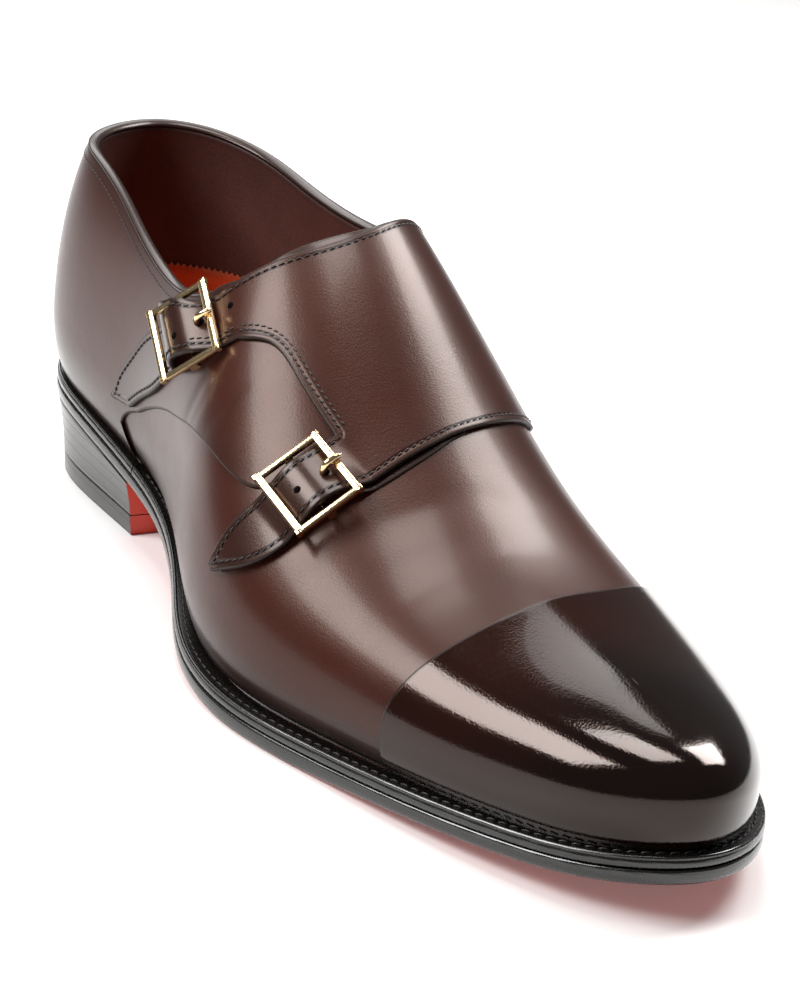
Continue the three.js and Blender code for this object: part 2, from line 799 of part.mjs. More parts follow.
let flap = flapSolid;
for (const buckle of buckles) {
  const hole = toSolid(placed(bar([[2.5, 0, -0.5], [2.5, 0, 7]], 1.75, 12), buckle));
  flap = flap.subtract(hole);
}
add("monk_flap", fromSolid(flap), LEATHER);
for (const buckle of buckles) {
  add(`buckle_frame_${buckle.name}`, placed(fromSolid(buckleFrame()), buckle), GOLD);
  add(`buckle_prong_${buckle.name}`, placed(bar(prongPath, PRONG_RADIUS), buckle), GOLD);
}

export default shoe;
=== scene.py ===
"""Looks of a double monk strap shoe, right foot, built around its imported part.

Shapes are worked out in millimetres in the part's own frame: the toe points to -Y, the outer
side of the foot is -X and the floor is z = 0. Meshes are made in metres.
"""
import math

import bpy
import numpy as np
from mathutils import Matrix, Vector

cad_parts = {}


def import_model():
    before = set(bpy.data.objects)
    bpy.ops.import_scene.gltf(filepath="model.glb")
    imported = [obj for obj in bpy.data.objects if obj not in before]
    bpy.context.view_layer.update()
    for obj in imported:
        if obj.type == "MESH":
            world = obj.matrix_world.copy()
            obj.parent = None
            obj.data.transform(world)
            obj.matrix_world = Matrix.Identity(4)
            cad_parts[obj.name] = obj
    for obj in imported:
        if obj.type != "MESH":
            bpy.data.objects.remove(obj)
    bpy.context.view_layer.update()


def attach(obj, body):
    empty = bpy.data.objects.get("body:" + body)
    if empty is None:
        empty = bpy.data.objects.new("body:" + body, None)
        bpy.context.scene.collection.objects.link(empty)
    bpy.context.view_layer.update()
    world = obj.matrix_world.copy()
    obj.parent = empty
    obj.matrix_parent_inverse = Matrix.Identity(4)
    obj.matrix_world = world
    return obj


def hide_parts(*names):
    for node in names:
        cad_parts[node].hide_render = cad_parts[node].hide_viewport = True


bl_info = {
    "name": "Monk Strap Shoe",
    "version": (1, 0, 0),
    "blender": (4, 5, 0),
    "location": "3D View > Sidebar > Shoe",
    "description": "Builds the leather, sole, buckles and stage of a double monk strap shoe",
    "category": "Add Mesh",
}

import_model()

# ---------------------------------------------------------------- the last's measures
MM = 0.001
HEEL_CENTRE = 38.0  # from the back of the heel to the origin
BREAST = 78.0  # from the back of the heel to the heel's front
BREAST_RAKE = 2.2  # how much further back the heel's front is at the floor
HEEL_TAPER = 3.2
TOP_PIECE = 6.0
WELT = 2.6
INSOLE = 3.4
WALL = 2.2
GAP = 0.3
LOW_ANGLE = -58.0
THROAT = 7.5
JOINT = 4.15  # station of the joint between the welt and the rand

# One row per section: the spine's place, its sway, the turn of the section's plane, the
# half-widths at the feather line, the swell and its height, the ridge and the crown's lean.
LAST = np.array([
    # spine sway turn lateral medial swellL swellM height ridge leanL leanM
    [36, -2.6, -90, 34.9, 34.9, 3.4, 3.4, 20.5, 124.0, -0.08, -0.08],
    [37, -3.2, -58, 34.6, 32.4, 3.7, 3.0, 19.6, 124.0, -0.08, -0.08],
    [41, -3.6, -28, 34.4, 31.4, 3.9, 2.9, 18.7, 124.0, -0.07, -0.07],
    [54, -2.8, -8, 33.1, 30.6, 3.8, 3.0, 18.2, 123.6, -0.02, 0.0],
    [78, -1.4, 0, 32.1, 28.4, 4.6, 4.7, 18.6, 122.4, -0.04, 0.06],
    [104, -0.5, 0, 34.0, 26.9, 5.4, 7.6, 19.4, 118.6, -0.06, 0.1],
    [130, -0.6, 0, 40.2, 29.5, 4.6, 9.0, 19.0, 108.0, -0.04, 0.12],
    [156, -1.2, 0, 47.6, 36.6, 3.4, 7.4, 17.5, 90.0, 0.1, 0.14],
    [182, -0.8, 2, 48.8, 42.5, 3.2, 4.1, 14.4, 68.6, 0.18, 0.12],
    [206, 1.8, 8, 43.8, 44.3, 3.1, 1.8, 11.6, 53.0, 0.08, 0.06],
    [228, 3.2, 20, 37.8, 42.0, 2.6, 0.8, 9.8, 45.2, 0.0, 0.0],
    [246, 3.9, 36, 32.7, 37.9, 2.2, 0.6, 9.4, 41.9, -0.08, -0.08],
    [258, 4.0, 58, 30.2, 34.5, 2.1, 1.0, 10.1, 40.6, -0.12, -0.12],
    [263, 4.5, 90, 32.2, 32.2, 2.0, 2.0, 11.4, 40.0, -0.14, -0.14],
])
# Height of the feather line and of the sole's underside along the shoe.
PROFILE = np.array([
    # at feather under
    [0, 33.0, 26.0], [40, 29.3, 22.3], [72, 24.8, 17.8], [100, 19.9, 12.9], [130, 13.5, 6.5],
    [155, 9.5, 2.3], [175, 7.9, 0.5], [195, 7.4, -0.2], [215, 7.9, 0.5], [240, 9.6, 2.6],
    [265, 11.8, 4.8], [285, 14.6, 7.6], [300, 18.2, 11.0],
])
# How far the sole's edge stands out from the feather line.
EDGE = np.array([
    # at out
    [0, 3.0], [45, 2.8], [80, 3.4], [110, 3.0], [150, 4.2], [190, 5.6], [240, 5.2],
    [285, 4.2], [305, 3.6],
])
# Height of the topline on the outer and the inner side.
TOPLINE = np.array([
    # station lateral medial
    [0, 96.5, 96.5], [0.8, 96.4, 95.6], [1.6, 96.0, 93.4], [2.6, 94.0, 90.0],
    [3.2, 89.6, 88.4], [3.7, 84.2, 88.0], [4.2, 80.2, 88.4], [4.7, 78.6, 89.6],
    [5.2, 79.8, 92.0], [5.6, 83.6, 95.0], [5.9, 88.5, 98.5], [6.2, 93.0, 100.0],
    [6.6, 93.5, 95.5], [7.1, 86.0, 86.5], [7.5, 79.5, 79.5],
])
# Guide lines of the flap and its straps as (station, angle), from the inner side outwards.
FLAP = {
    "back": [(5.58, 140), (5.92, 116), (6.3, 90), (6.27, 66), (5.8, 40), (5.52, 33.3),
             (5.21, 27.5), (4.86, 21.6), (4.48, 16), (4.18, 9.5), (3.93, 3), (3.78, -6)],
    "notch": [(6.03, 140), (6.4, 116), (6.75, 90), (6.8, 68), (6.43, 43), (5.98, 29.2),
              (5.63, 22.1), (5.28, 15.7), (4.95, 9.5), (4.55, 4), (4.15, -2.5), (3.85, -9)],
    "inner_a": [(6.4, 140), (6.75, 116), (7.08, 90), (7.13, 70), (6.72, 50)],
    "inner_b": [(6.8, 140), (7.15, 116), (7.45, 90), (7.5, 71), (7.2, 54)],
    "gap": [(7.15, 140), (7.5, 116), (7.75, 90), (7.82, 72), (7.74, 57), (7.73, 47.1),
            (7.71, 38), (7.67, 31), (7.6, 23), (7.57, 16), (7.56, 11)],
    "front": [(7.46, 140), (7.84, 116), (8.1, 90), (8.18, 74), (8.22, 60), (8.2, 49.5),
              (8.18, 39), (8.13, 29), (7.98, 20.5), (7.78, 14.5), (7.62, 10.5)],
}
# Line of the toe cap: how far it lies from the back of the heel, across the foot.
CAP_LINE = np.array([
    # across along
    [-38, 232.6], [-30, 233.8], [-21, 234.0], [-10, 232.8], [0, 231.1], [10, 229.4],
    [20, 227.0], [30, 222.4], [40, 216.8], [47, 213.4],
])
TONGUE_EDGE = np.array([[40, 5.9], [52, 6.02], [69, 6.19], [90, 6.24], [111, 6.0],
                        [128, 5.84], [140, 5.78]])
# Front edge of the quarters, where they lie over the vamp.
OUTER_SEAM = [(4.16, -58), (3.95, -47), (3.88, -35), (3.93, -24), (4.05, -14), (4.26, -5),
              (4.62, 2.6), (4.98, 6.4), (5.4, 10.6), (5.8, 14.4), (6.2, 18.7), (6.88, 25),
              (7.3, 28.5), (7.58, 33), (7.75, 42), (7.82, 54), (7.8, 63)]
SEAM_SQUEEZE = 0.37  # angles below the swell count this much when the seam is traced
INNER_SEAM = [(3.92, 238), (3.95, 212), (4.15, 190), (4.55, 178), (5.2, 172), (6.1, 166),
              (6.78, 160)]
BUCKLES = [
    {"name": "upper", "at": (5.83, 31.6), "towards": (6.03, 40.6), "above": 3.5,
     "lean": (0.36, 0.26)},
    {"name": "lower", "at": (7.97, 45.3), "towards": (8.0, 55.0), "above": 1.2,
     "lean": (-0.12, 0.0)},
]
LIFT = 2.05  # how far each strap rises over the middle bar of its buckle


# ---------------------------------------------------------------- smooth curves
class Curve:
    """Cubic spline through one or more columns, natural at its ends or closed on itself."""

    def __init__(self, xs, ys, closed=False):
        self.xs = np.asarray(xs, float)
        self.ys = np.asarray(ys, float)
        self.single = self.ys.ndim == 1
        if self.single:
            self.ys = self.ys[:, None]
        n = len(self.xs)
        h = np.diff(self.xs)
        d = np.diff(self.ys, axis=0) / h[:, None]
        m = n - 1 if closed else n
        matrix = np.zeros((m, m))
        right = np.zeros((m, self.ys.shape[1]))
        for i in range(m):
            if not closed and i in (0, n - 1):
                matrix[i, i] = 1
                continue
            before = i - 1 if i else n - 2
            matrix[i, (i - 1) % m] += h[before]
            matrix[i, i] += 2 * (h[before] + h[i])
            matrix[i, (i + 1) % m] += h[i]
            right[i] = 6 * (d[i] - d[before])
        bend = np.linalg.solve(matrix, right)
        self.bend = np.vstack([bend, bend[:1]]) if closed else bend
        self.h, self.d = h, d

    def _span(self, x):
        x = np.asarray(x, float)
        i = np.searchsorted(self.xs[1:-1], x, side="left")
        a = ((self.xs[i + 1] - x) / self.h[i])[..., None]
        return i, a, 1 - a

    def at(self, x):
        i, a, b = self._span(x)
        cubic = (a ** 3 - a) * self.bend[i] + (b ** 3 - b) * self.bend[i + 1]
        out = a * self.ys[i] + b * self.ys[i + 1] + (self.h[i] ** 2 / 6)[..., None] * cubic
        return out[..., 0] if self.single else out

    def slope(self, x):
        i, a, b = self._span(x)
        turn = (3 * b * b - 1) * self.bend[i + 1] - (3 * a * a - 1) * self.bend[i]
        out = self.d[i] + (self.h[i] / 6)[..., None] * turn
        return out[..., 0] if self.single else out


feather_at = Curve(PROFILE[:, 0], PROFILE[:, 1]).at
_under = Curve(PROFILE[:, 0], PROFILE[:, 2])
edge_at = Curve(EDGE[:, 0], EDGE[:, 1]).at
RIDGE = Curve(LAST[:, 0], LAST[:, 8])
CAP = Curve(CAP_LINE[:, 0], CAP_LINE[:, 1])
TOP_OUTER = Curve(TOPLINE[:, 0], TOPLINE[:, 1])
TOP_INNER = Curve(TOPLINE[:, 0], TOPLINE[:, 2])
TOE = len(LAST) - 1
LOOP = 2 * TOE


def under_at(s):
    return np.maximum(0, _under.at(s))


def _ring():
    """Feather, swell and ridge places for each station around the foot."""
    rows = []
    for station in range(LOOP + 1):
        k = station % LOOP
        inner = k > TOE
        spine, sway, turn, lateral, medial, sl, sm, height, ridge, ll, lm = (
            LAST[LOOP - k if inner else k])
        across = (math.cos(math.radians(turn)) * (1 if inner else -1),
                  math.sin(math.radians(turn)))
        width = medial if inner else lateral
        swell = width + (sm if inner else sl)
        fy = spine + across[1] * width
        base = float(feather_at(fy))
        rows.append([sway + across[0] * width, fy, base,
                     sway + across[0] * swell, spine + across[1] * swell, base + height,
                     sway, spine, ridge, lm if inner else ll])
    return Curve(np.arange(LOOP + 1), np.array(rows), closed=True)


RING = _ring()


def last(u, angle):
    """The last's surface: u runs round the foot, angle from the feather line to the ridge."""
    u, angle = np.broadcast_arrays(np.asarray(u, float), np.asarray(angle, float))
    fx, fy, fz, bx, by, bz, tx, ty, tz, lean = np.moveaxis(RING.at(np.mod(u, LOOP)), -1, 0)
    a = np.radians(angle)
    low = math.cos(math.radians(LOW_ANGLE))
    q = (np.cos(a) - low) / (1 - low)
    reach = np.cos(a) * (1 - lean * np.sin(a) ** 2)
    crown_y = ty + (by - ty) * reach
    follow = RIDGE.slope(ty) * (crown_y - ty) * (1 - reach * reach) ** 2
    below = angle < 0
    x = np.where(below, fx + (bx - fx) * q, tx + (bx - tx) * reach)
    y = np.where(below, fy + (by - fy) * q, crown_y)
    drop = (bz - fz) * np.sin(a) / math.sin(math.radians(-LOW_ANGLE))
    z = np.where(below, bz + drop, bz + (tz - bz) * np.sin(a) + follow)
    return np.stack([x, HEEL_CENTRE - y, z], -1)


def sides(station, angle):
    """Turns a place over the foot (angle past 90 is the inner side) into (u, angle)."""
    station, angle = np.broadcast_arrays(np.asarray(station, float), np.asarray(angle, float))
    outer = angle <= 90
    return np.where(outer, station, LOOP - station), np.where(outer, angle, 180 - angle)


def over_foot(station, angle):
    return last(*sides(station, angle))


def unit(v):
    return v / np.maximum(np.linalg.norm(v, axis=-1, keepdims=True), 1e-9)


def beside(u, out, z):
    """A place beside the feather line: out is measured square to it, outwards."""
    w = np.mod(np.asarray(u, float), LOOP)
    at, slope = RING.at(w), RING.slope(w)
    t = unit(slope[..., :2])
    x = at[..., 0] - t[..., 1] * out
    y = at[..., 1] + t[..., 0] * out
    x, y, z = np.broadcast_arrays(x, y, z)
    return np.stack([x, HEEL_CENTRE - y, z], -1)


def foot_at(u):
    return RING.at(np.mod(np.asarray(u, float), LOOP))[..., 1]


# ---------------------------------------------------------------- buckles' own directions
def _buckle(name, at, towards, above, lean):
    p = over_foot(*at)
    du = over_foot(at[0] + 0.02, at[1]) - p
    da = over_foot(at[0], at[1] + 0.2) - p
    off = unit(np.cross(du, da))
    centre = p + off * above
    off = unit(off + np.array([0, -lean[0], lean[1]]))
    along = over_foot(*towards) - centre
    along = unit(along - off * along.dot(off))
    return {"name": name, "centre": centre, "off": off, "along": along,
            "across": np.cross(off, along)}


BUCKLE_FRAMES = [_buckle(**row) for row in BUCKLES]


def smooth(x, low, high):
    t = np.clip((x - low) / (high - low), 0, 1)
    return t * t * (3 - 2 * t)


def through_buckles(p):
    """Lays a strap flat in its buckle's plane, with a rise over the middle bar."""
    q = p.copy()
    for b in BUCKLE_FRAMES:
        d = p - b["centre"]
        a, c, h = d @ b["along"], d @ b["across"], d @ b["off"]
        share = (smooth(12.5 - np.abs(a), 0, 8) * smooth(17 - np.abs(c), 0, 5)
                 * smooth(12 - np.abs(h), 0, 4))
        rise = np.where(np.abs(a) < 8.4, LIFT * np.cos(math.pi * a / 16.8) ** 2, 0)
        q = q + b["off"] * (share * np.maximum(0, rise - h))[..., None]
    return q


def bisect(low, high, below, rounds=40):
    """Narrows low to high down to the place where below(x) stops being true."""
    for _ in range(rounds):
        middle = (low + high) / 2
        under = below(middle)
        low, high = np.where(under, middle, low), np.where(under, high, middle)
    return low


def end_angle(u):
    """Angle where the upper ends: the topline behind the throat and the ridge before it."""
    u = np.mod(np.asarray(u, float), LOOP)
    inner = u > TOE
    station = np.where(inner, LOOP - u, u)
    behind = np.minimum(station, THROAT)
    height = np.where(inner, TOP_INNER.at(behind), TOP_OUTER.at(behind))
    angle = bisect(np.zeros_like(u), np.full_like(u, 89.0),
                   lambda middle: last(u, middle)[..., 2] < height)
    return np.where(station >= THROAT, 90.0, angle)


class Sheet:
    """The last's surface with a warp on top, as places and outward directions."""

    def __init__(self, warp=None):
        self.warp = warp or (lambda p: p)

    def at(self, station, angle):
        return self.warp(over_foot(station, angle))

    def out(self, station, angle):
        u, a = sides(station, angle)
        du = self.warp(last(u + 0.01, a)) - self.warp(last(u - 0.01, a))
        da = self.warp(last(u, a + 0.3)) - self.warp(last(u, a - 0.3))
        return unit(np.cross(du, da))


LAST_SHEET = Sheet()
FLAP_SHEET = Sheet(through_buckles)


def trace(points, count):
    """Places spread evenly along a smooth curve through (station, angle) points."""
    points = np.asarray(points, float)
    step = np.hypot(np.diff(points[:, 0]) * 24, np.diff(points[:, 1]) * 0.75)
    t = np.concatenate([[0], np.cumsum(step)])
    return Curve(t, points).at(np.linspace(0, t[-1], count + 1))


def join(*parts):
    return np.concatenate([parts[0]] + [p[1:] for p in parts[1:]])


def cap_station(angle):
    """Station where the toe cap's line crosses the surface at this angle."""
    angle = np.asarray(angle, float)

    def before(station):
        p = over_foot(station, angle)
        across = np.clip(p[..., 0], CAP_LINE[0, 0], CAP_LINE[-1, 0])
        return HEEL_CENTRE - p[..., 1] < CAP.at(across)

    return bisect(np.full_like(angle, 8.2), np.full_like(angle, 11.2), before)


# ---------------------------------------------------------------- meshes
def grid_faces(columns, rows, keep=None):
    i, j = np.meshgrid(np.arange(columns), np.arange(rows), indexing="ij")
    if keep is not None:
        i, j = i[keep], j[keep]
    k = (i * (rows + 1) + j).ravel()
    return np.stack([k, k + rows + 1, k + rows + 2, k + 1], -1)


def weld(p, faces, extra, near=0.004):
    """Merges equal places. extra is a dictionary of values per place that are merged too."""
    used = np.zeros(len(p), bool)
    used[np.unique(faces)] = True
    keys = np.round(p / near).astype(np.int64)
    keys[~used] = np.array([9 ** 9, 0, 0])
    _, first, index = np.unique(keys, axis=0, return_index=True, return_inverse=True)
    index = index.ravel()
    merged = {}
    for name, value in extra.items():
        total = np.zeros((len(first),) + value.shape[1:])
        np.add.at(total, index, value)
        count = np.bincount(index, minlength=len(first)).astype(float)
        merged[name] = total / count.reshape((-1,) + (1,) * (value.ndim - 1))
    clean = []
    for face in index[faces].tolist():
        corners = [c for n, c in enumerate(face) if c != face[n - 1]]
        if len(set(corners)) > 2:
            clean.append(corners)
    return p[first], clean, merged


def make_mesh(name, places, faces, materials, stands_for=(), values=None, which=None,
              weighted=True, sharp=None):
    """Makes an object from places in millimetres and hands it to the frame."""
    mesh = bpy.data.meshes.new(name)
    mesh.from_pydata((np.asarray(places) * MM).tolist(), [], [list(f) for f in faces])
    mesh.validate()
    for key, value in (values or {}).items():
        layer = mesh.attributes.new(key, "FLOAT", "POINT")
        layer.data.foreach_set("value", np.ascontiguousarray(value, dtype=np.float32))
    for material in materials:
        mesh.materials.append(material)
    if which is not None:
        mesh.polygons.foreach_set("material_index", np.asarray(which, dtype=np.int32))
    mesh.polygons.foreach_set("use_smooth", np.ones(len(mesh.polygons), bool))
    if sharp is not None:
        mesh.set_sharp_from_angle(angle=math.radians(sharp))
    mesh.update()
    obj = bpy.data.objects.new(name, mesh)
    bpy.context.collection.objects.link(obj)
    if weighted:
        modifier = obj.modifiers.new("even shading", "WEIGHTED_NORMAL")
        modifier.weight = 60
        modifier.keep_sharp = True
    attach(obj, "root")
    if stands_for:
        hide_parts(*stands_for)
    return obj


FACING_SAMPLE = 400  # faces that are asked whether a piece faces outwards


def facing_out(places, faces):
    """The faces, turned over if the solid that they close is inside out."""
    volume = sum(np.dot(places[f[0]], np.cross(places[f[m]], places[f[m + 1]]))
                 for f in faces for m in range(1, len(f) - 1))
    return [f[::-1] for f in faces] if volume < 0 else faces


def ring_faces(rings, count):
    """Faces of a solid made of rings of places, closed at both ends."""
    faces = [[k * count + c, k * count + (c + 1) % count,
              (k + 1) * count + (c + 1) % count, (k + 1) * count + c]
             for k in range(rings - 1) for c in range(count)]
    faces.append(list(range(count))[::-1])
    faces.append([(rings - 1) * count + c for c in range(count)])
    return faces


def even_values(count, rim=5.0, tone=0.0):
    """The same distance from a cut edge, and the same burnish, at every place."""
    return {"rim": np.full(count, rim), "tone": np.full(count, tone)}


def boundary_loops(faces):
    """Directed edges that only one face has, as next and previous corner of each corner."""
    seen = {}
    for face in faces:
        for n, b in enumerate(face):
            a = face[n - 1]
            if (b, a) in seen:
                del seen[(b, a)]
            else:
                seen[(a, b)] = True
    after = {a: b for a, b in seen}
    before = {b: a for a, b in seen}
    return after, before


def distance_to(places, line):
    best = np.full(len(places), 1e9)
    for start in range(0, len(places), 4000):
        part = places[start:start + 4000]
        gap = np.linalg.norm(part[:, None, :] - line[None, :, :], axis=2)
        best[start:start + 4000] = gap.min(axis=1)
    return best


def leather_piece(name, sheet, station, angle, outer, inner, material, stands_for=(),
                  keep=None, rounding=0.35, tone=0.0):
    """A piece of leather cut to the grid's outline, with a rounded cut edge.

    outer and inner are heights over the last, and tone is how far the colour goes towards its
    dark tone.
    """
    shape = station.shape
    p = sheet.at(station, angle).reshape(-1, 3)
    faces = grid_faces(shape[0] - 1, shape[1] - 1, keep)
    spread = {"n": sheet.out(station, angle).reshape(-1, 3)}
    for key, value in (("outer", outer), ("inner", inner), ("tone", tone)):
        spread[key] = np.broadcast_to(value, shape).reshape(-1).astype(float)
    p, faces, spread = weld(p, faces, spread)
    n = unit(spread["n"])
    facing = sum(np.dot(np.cross(p[f[1]] - p[f[0]], p[f[2]] - p[f[0]]), n[f[0]])
                 for f in faces[:FACING_SAMPLE])
    if facing < 0:
        faces = [f[::-1] for f in faces]
    after, before = boundary_loops(faces)
    rim = np.array(sorted(k for k in after if k in before))
    ahead = np.array([after[k] for k in rim])
    behind = np.array([before[k] for k in rim])
    tangent = unit(unit(p[ahead] - p[rim]) + unit(p[rim] - p[behind]))
    inwards = unit(np.cross(n[rim], tangent))
    r = np.minimum(rounding, (spread["outer"] - spread["inner"])[rim] * 0.48)[:, None]
    top = p + n * spread["outer"][:, None]
    base = p + n * spread["inner"][:, None]
    crest = top[rim]
    top[rim] = crest + inwards * r
    rings = []
    for turn in (60, 30, 0):
        c, s = math.cos(math.radians(turn)), math.sin(math.radians(turn))
        rings.append(crest + inwards * r * (1 - c) - n[rim] * r * (1 - s))
    count, m = len(p), len(rim)
    places = np.concatenate([top] + rings + [base])
    slot_of = {int(k): i for i, k in enumerate(rim)}
    out_faces = [list(f) for f in faces]
    out_faces += [[c + count + 3 * m for c in f[::-1]] for f in faces]
    for a in rim.tolist():
        b = after[a]
        if b not in slot_of:
            continue
        ia, ib = slot_of[a], slot_of[b]
        chain_a = [a] + [count + k * m + ia for k in range(3)] + [count + 3 * m + a]
        chain_b = [b] + [count + k * m + ib for k in range(3)] + [count + 3 * m + b]
        for k in range(4):
            out_faces.append([chain_b[k], chain_a[k], chain_a[k + 1], chain_b[k + 1]])
    gap = distance_to(p, p[rim])
    values = {
        "rim": np.concatenate([gap, np.zeros(3 * m), gap]),
        "tone": np.concatenate([spread["tone"]] + [spread["tone"][rim]] * 3 + [spread["tone"]]),
    }
    return make_mesh(name, places, out_faces, [material], stands_for, values)


def loft_piece(name, sections, material, stands_for=(), values=None, sharp=None):
    """A solid through sections with the same number of places, closed at both ends."""
    sections = np.asarray(sections)
    rows, count = sections.shape[:2]
    faces = []
    for j in range(rows - 1):
        for c in range(count):
            d = (c + 1) % count
            faces.append([j * count + c, (j + 1) * count + c, (j + 1) * count + d,
                          j * count + d])
    faces.append(list(range(count)))
    faces.append([(rows - 1) * count + c for c in range(count)][::-1])
    places = sections.reshape(-1, 3)
    return make_mesh(name, places, facing_out(places, faces), [material], stands_for,
                     values, sharp=sharp)


# ---------------------------------------------------------------- finishes
class Number:
    """A node's output that can stand in arithmetic and adds the Math nodes it needs."""

    def __init__(self, finish, socket):
        self.finish = finish
        self.socket = socket

    def _math(self, operation, *values):
        inputs = dict(enumerate(values))
        return self.finish.node("ShaderNodeMath", {"operation": operation}, inputs)[0]

    def __add__(self, other):
        return self._math("ADD", self, other)

    def __radd__(self, other):
        return self._math("ADD", other, self)

    def __sub__(self, other):
        return self._math("SUBTRACT", self, other)

    def __rsub__(self, other):
        return self._math("SUBTRACT", other, self)

    def __mul__(self, other):
        return self._math("MULTIPLY", self, other)

    def __abs__(self):
        return self._math("ABSOLUTE", self)

    def wave(self):
        return self._math("SINE", self)

    def step(self, low, high, to_low=0.0, to_high=1.0):
        """Goes smoothly from to_low to to_high as the number goes from low to high."""
        settings = {"interpolation_type": "SMOOTHSTEP"}
        inputs = {0: self, 1: low, 2: high, 3: to_low, 4: to_high}
        return self.finish.node("ShaderNodeMapRange", settings, inputs)[0]


class Finish:
    """A material that is put together from nodes."""

    def __init__(self, name):
        self.material = bpy.data.materials.new(name)
        self.material.use_nodes = True
        self.tree = self.material.node_tree
        self.tree.nodes.clear()
        self.place = self.node("ShaderNodeTexCoord")["Object"]

    def node(self, kind, settings=None, inputs=None):
        node = self.tree.nodes.new(kind)
        for key, value in (settings or {}).items():
            setattr(node, key, value)
        for key, value in (inputs or {}).items():
            if isinstance(value, Number):
                self.tree.links.new(value.socket, node.inputs[key])
            else:
                node.inputs[key].default_value = value
        outputs = {}
        for k, socket in enumerate(node.outputs):
            outputs[k] = outputs[socket.name] = Number(self, socket)
        return outputs

    def measure(self, name):
        return self.node("ShaderNodeAttribute", {"attribute_name": name})["Fac"]

    def noise(self, size, detail=3.0, rough=0.55, twist=0.0):
        """Soft noise around 0.5 with features of about this size, in millimetres."""
        inputs = {"Vector": self.place, "Scale": 1000.0 / size, "Detail": detail,
                  "Roughness": rough, "Distortion": twist}
        return self.node("ShaderNodeTexNoise", None, inputs)[0]

    def cells(self, size):
        """Distance from the middle of the nearest cell, for cells of this size."""
        inputs = {"Vector": self.place, "Scale": 1000.0 / size}
        return self.node("ShaderNodeTexVoronoi", None, inputs)["Distance"]

    def axis(self, name):
        return self.node("ShaderNodeSeparateXYZ", None, {0: self.place})[name]

    def mix(self, share, a, b):
        settings = {"data_type": "RGBA"}
        return self.node("ShaderNodeMix", settings, {0: share, 6: a, 7: b})[2]

    def bump(self, height, distance, under=None):
        """Relief of this many millimetres, on top of the relief under it."""
        inputs = {"Height": height, "Distance": distance * MM, "Strength": 1.0}
        if under is not None:
            inputs["Normal"] = under
        return self.node("ShaderNodeBump", None, inputs)[0]

    def done(self, **inputs):
        names = {key.replace("_", " "): value for key, value in inputs.items()}
        shader = self.node("ShaderNodeBsdfPrincipled", None, names)[0]
        self.node("ShaderNodeOutputMaterial", None, {"Surface": shader})
        return self.material


def linear(colour):
    """A display colour of 0 to 255 as the linear colour a shader takes."""
    out = []
    for c in colour:
        c = c / 255.0
        out.append(c / 12.92 if c <= 0.04045 else ((c + 0.055) / 1.055) ** 2.4)
    return (*out, 1.0)


def shade(colour, share):
    """The colour with this share of its brightness."""
    return (*(c * share for c in colour[:3]), 1.0)


def polished_calf(name, light, dark, gloss, seam_shade, stitch_at=None, coat=0.3,
                  mirror=0.17):
    """Polished calf: a cloudy hand-burnished colour, fine grain, and darker cut edges."""
    f = Finish(name)
    rim, tone = f.measure("rim"), f.measure("tone")
    cloud = f.noise(38.0, 3.0, 0.5, 0.4)
    streak = f.noise(9.0, 4.0, 0.6)
    grain = f.cells(0.55)
    pores = f.noise(0.5, 2.0, 0.6)
    # The dark tone comes in where tone is high (burnished heel and toe, darker towards the
    # bottom of the sides) and with cloudy streaks.
    burnish = (tone + (cloud - 0.5) * 0.55 + (streak - 0.5) * 0.18).step(0.0, 1.0)
    colour = f.mix(burnish, light, dark)
    edge = rim.step(0.15, 0.9, 1.0, 0.0)
    near = rim.step(0.5, 9.0, seam_shade * 0.45, 0.0)
    black = shade(dark, 0.18)
    colour = f.mix(near, colour, dark)
    colour = f.mix(edge * 0.75, colour, black)
    height = f.bump(grain, 0.018)
    height = f.bump(pores, 0.012, height)
    height = f.bump(streak, 0.03, height)
    if stitch_at is not None:
        # The stitch row's colour is pushed towards black: painted shade in its groove, on top of
        # the bump that sinks it.
        row = (abs(rim - stitch_at)).step(0.0, 0.75, 1.0, 0.0)
        colour = f.mix(row * 0.45, colour, black)
        height = f.bump(1.0 - row, 0.16, height)
    rough = gloss + (streak - 0.5) * 0.10 + (pores - 0.5) * 0.06 + edge * 0.25 - tone * 0.05
    return f.done(Base_Color=colour, Roughness=rough, Normal=height,
                  Coat_Weight=(burnish * 0.2 + coat).step(0.0, 1.0), Coat_Roughness=mirror,
                  Coat_IOR=1.37, IOR=1.45, Specular_IOR_Level=0.3,
                  Specular_Tint=(1.0, 0.72, 0.6, 1.0))


def lining_leather(name, colour, wear):
    """Unpolished lining: open pores, a soft nap and cloudy wear."""
    f = Finish(name)
    rim = f.measure("rim")
    cloud, fine, pores = f.noise(22.0), f.noise(1.1, 4.0, 0.65), f.cells(0.7)
    worn = (cloud * 0.7 + fine * 0.3).step(0.3, 0.75)
    tint = f.mix(worn, colour, wear)
    tint = f.mix(rim.step(0.0, 3.0, 0.5, 0.0), tint, shade(colour, 0.35))
    height = f.bump(pores, 0.03)
    height = f.bump(fine, 0.05, height)
    return f.done(Base_Color=tint, Roughness=0.62 + (fine - 0.5) * 0.2, Normal=height)


WAVE = 6283.0  # a full turn per millimetre, for places in metres


def waxed_edge(name, colour):
    """Sole edge leather, inked, waxed and burnished with a hot iron along its length."""
    f = Finish(name)
    z = f.axis("Z")
    cloud, fine = f.noise(14.0), f.noise(0.8, 3.0, 0.6)
    strokes = (z * (WAVE / 0.9) + cloud * 7.0).wave()
    tint = f.mix(cloud.step(0.3, 0.7), colour, shade(colour, 0.55))
    tint = f.mix((fine - 0.5).step(0.05, 0.3) * 0.3, tint, linear((36, 28, 24)))
    height = f.bump(strokes, 0.012)
    height = f.bump(fine, 0.03, height)
    return f.done(Base_Color=tint, Roughness=0.24 + (fine - 0.5) * 0.16 + cloud * 0.06,
                  Normal=height, Coat_Weight=0.5, Coat_Roughness=0.12)


LIFT_THICK = 3.6  # one leather lift of the heel


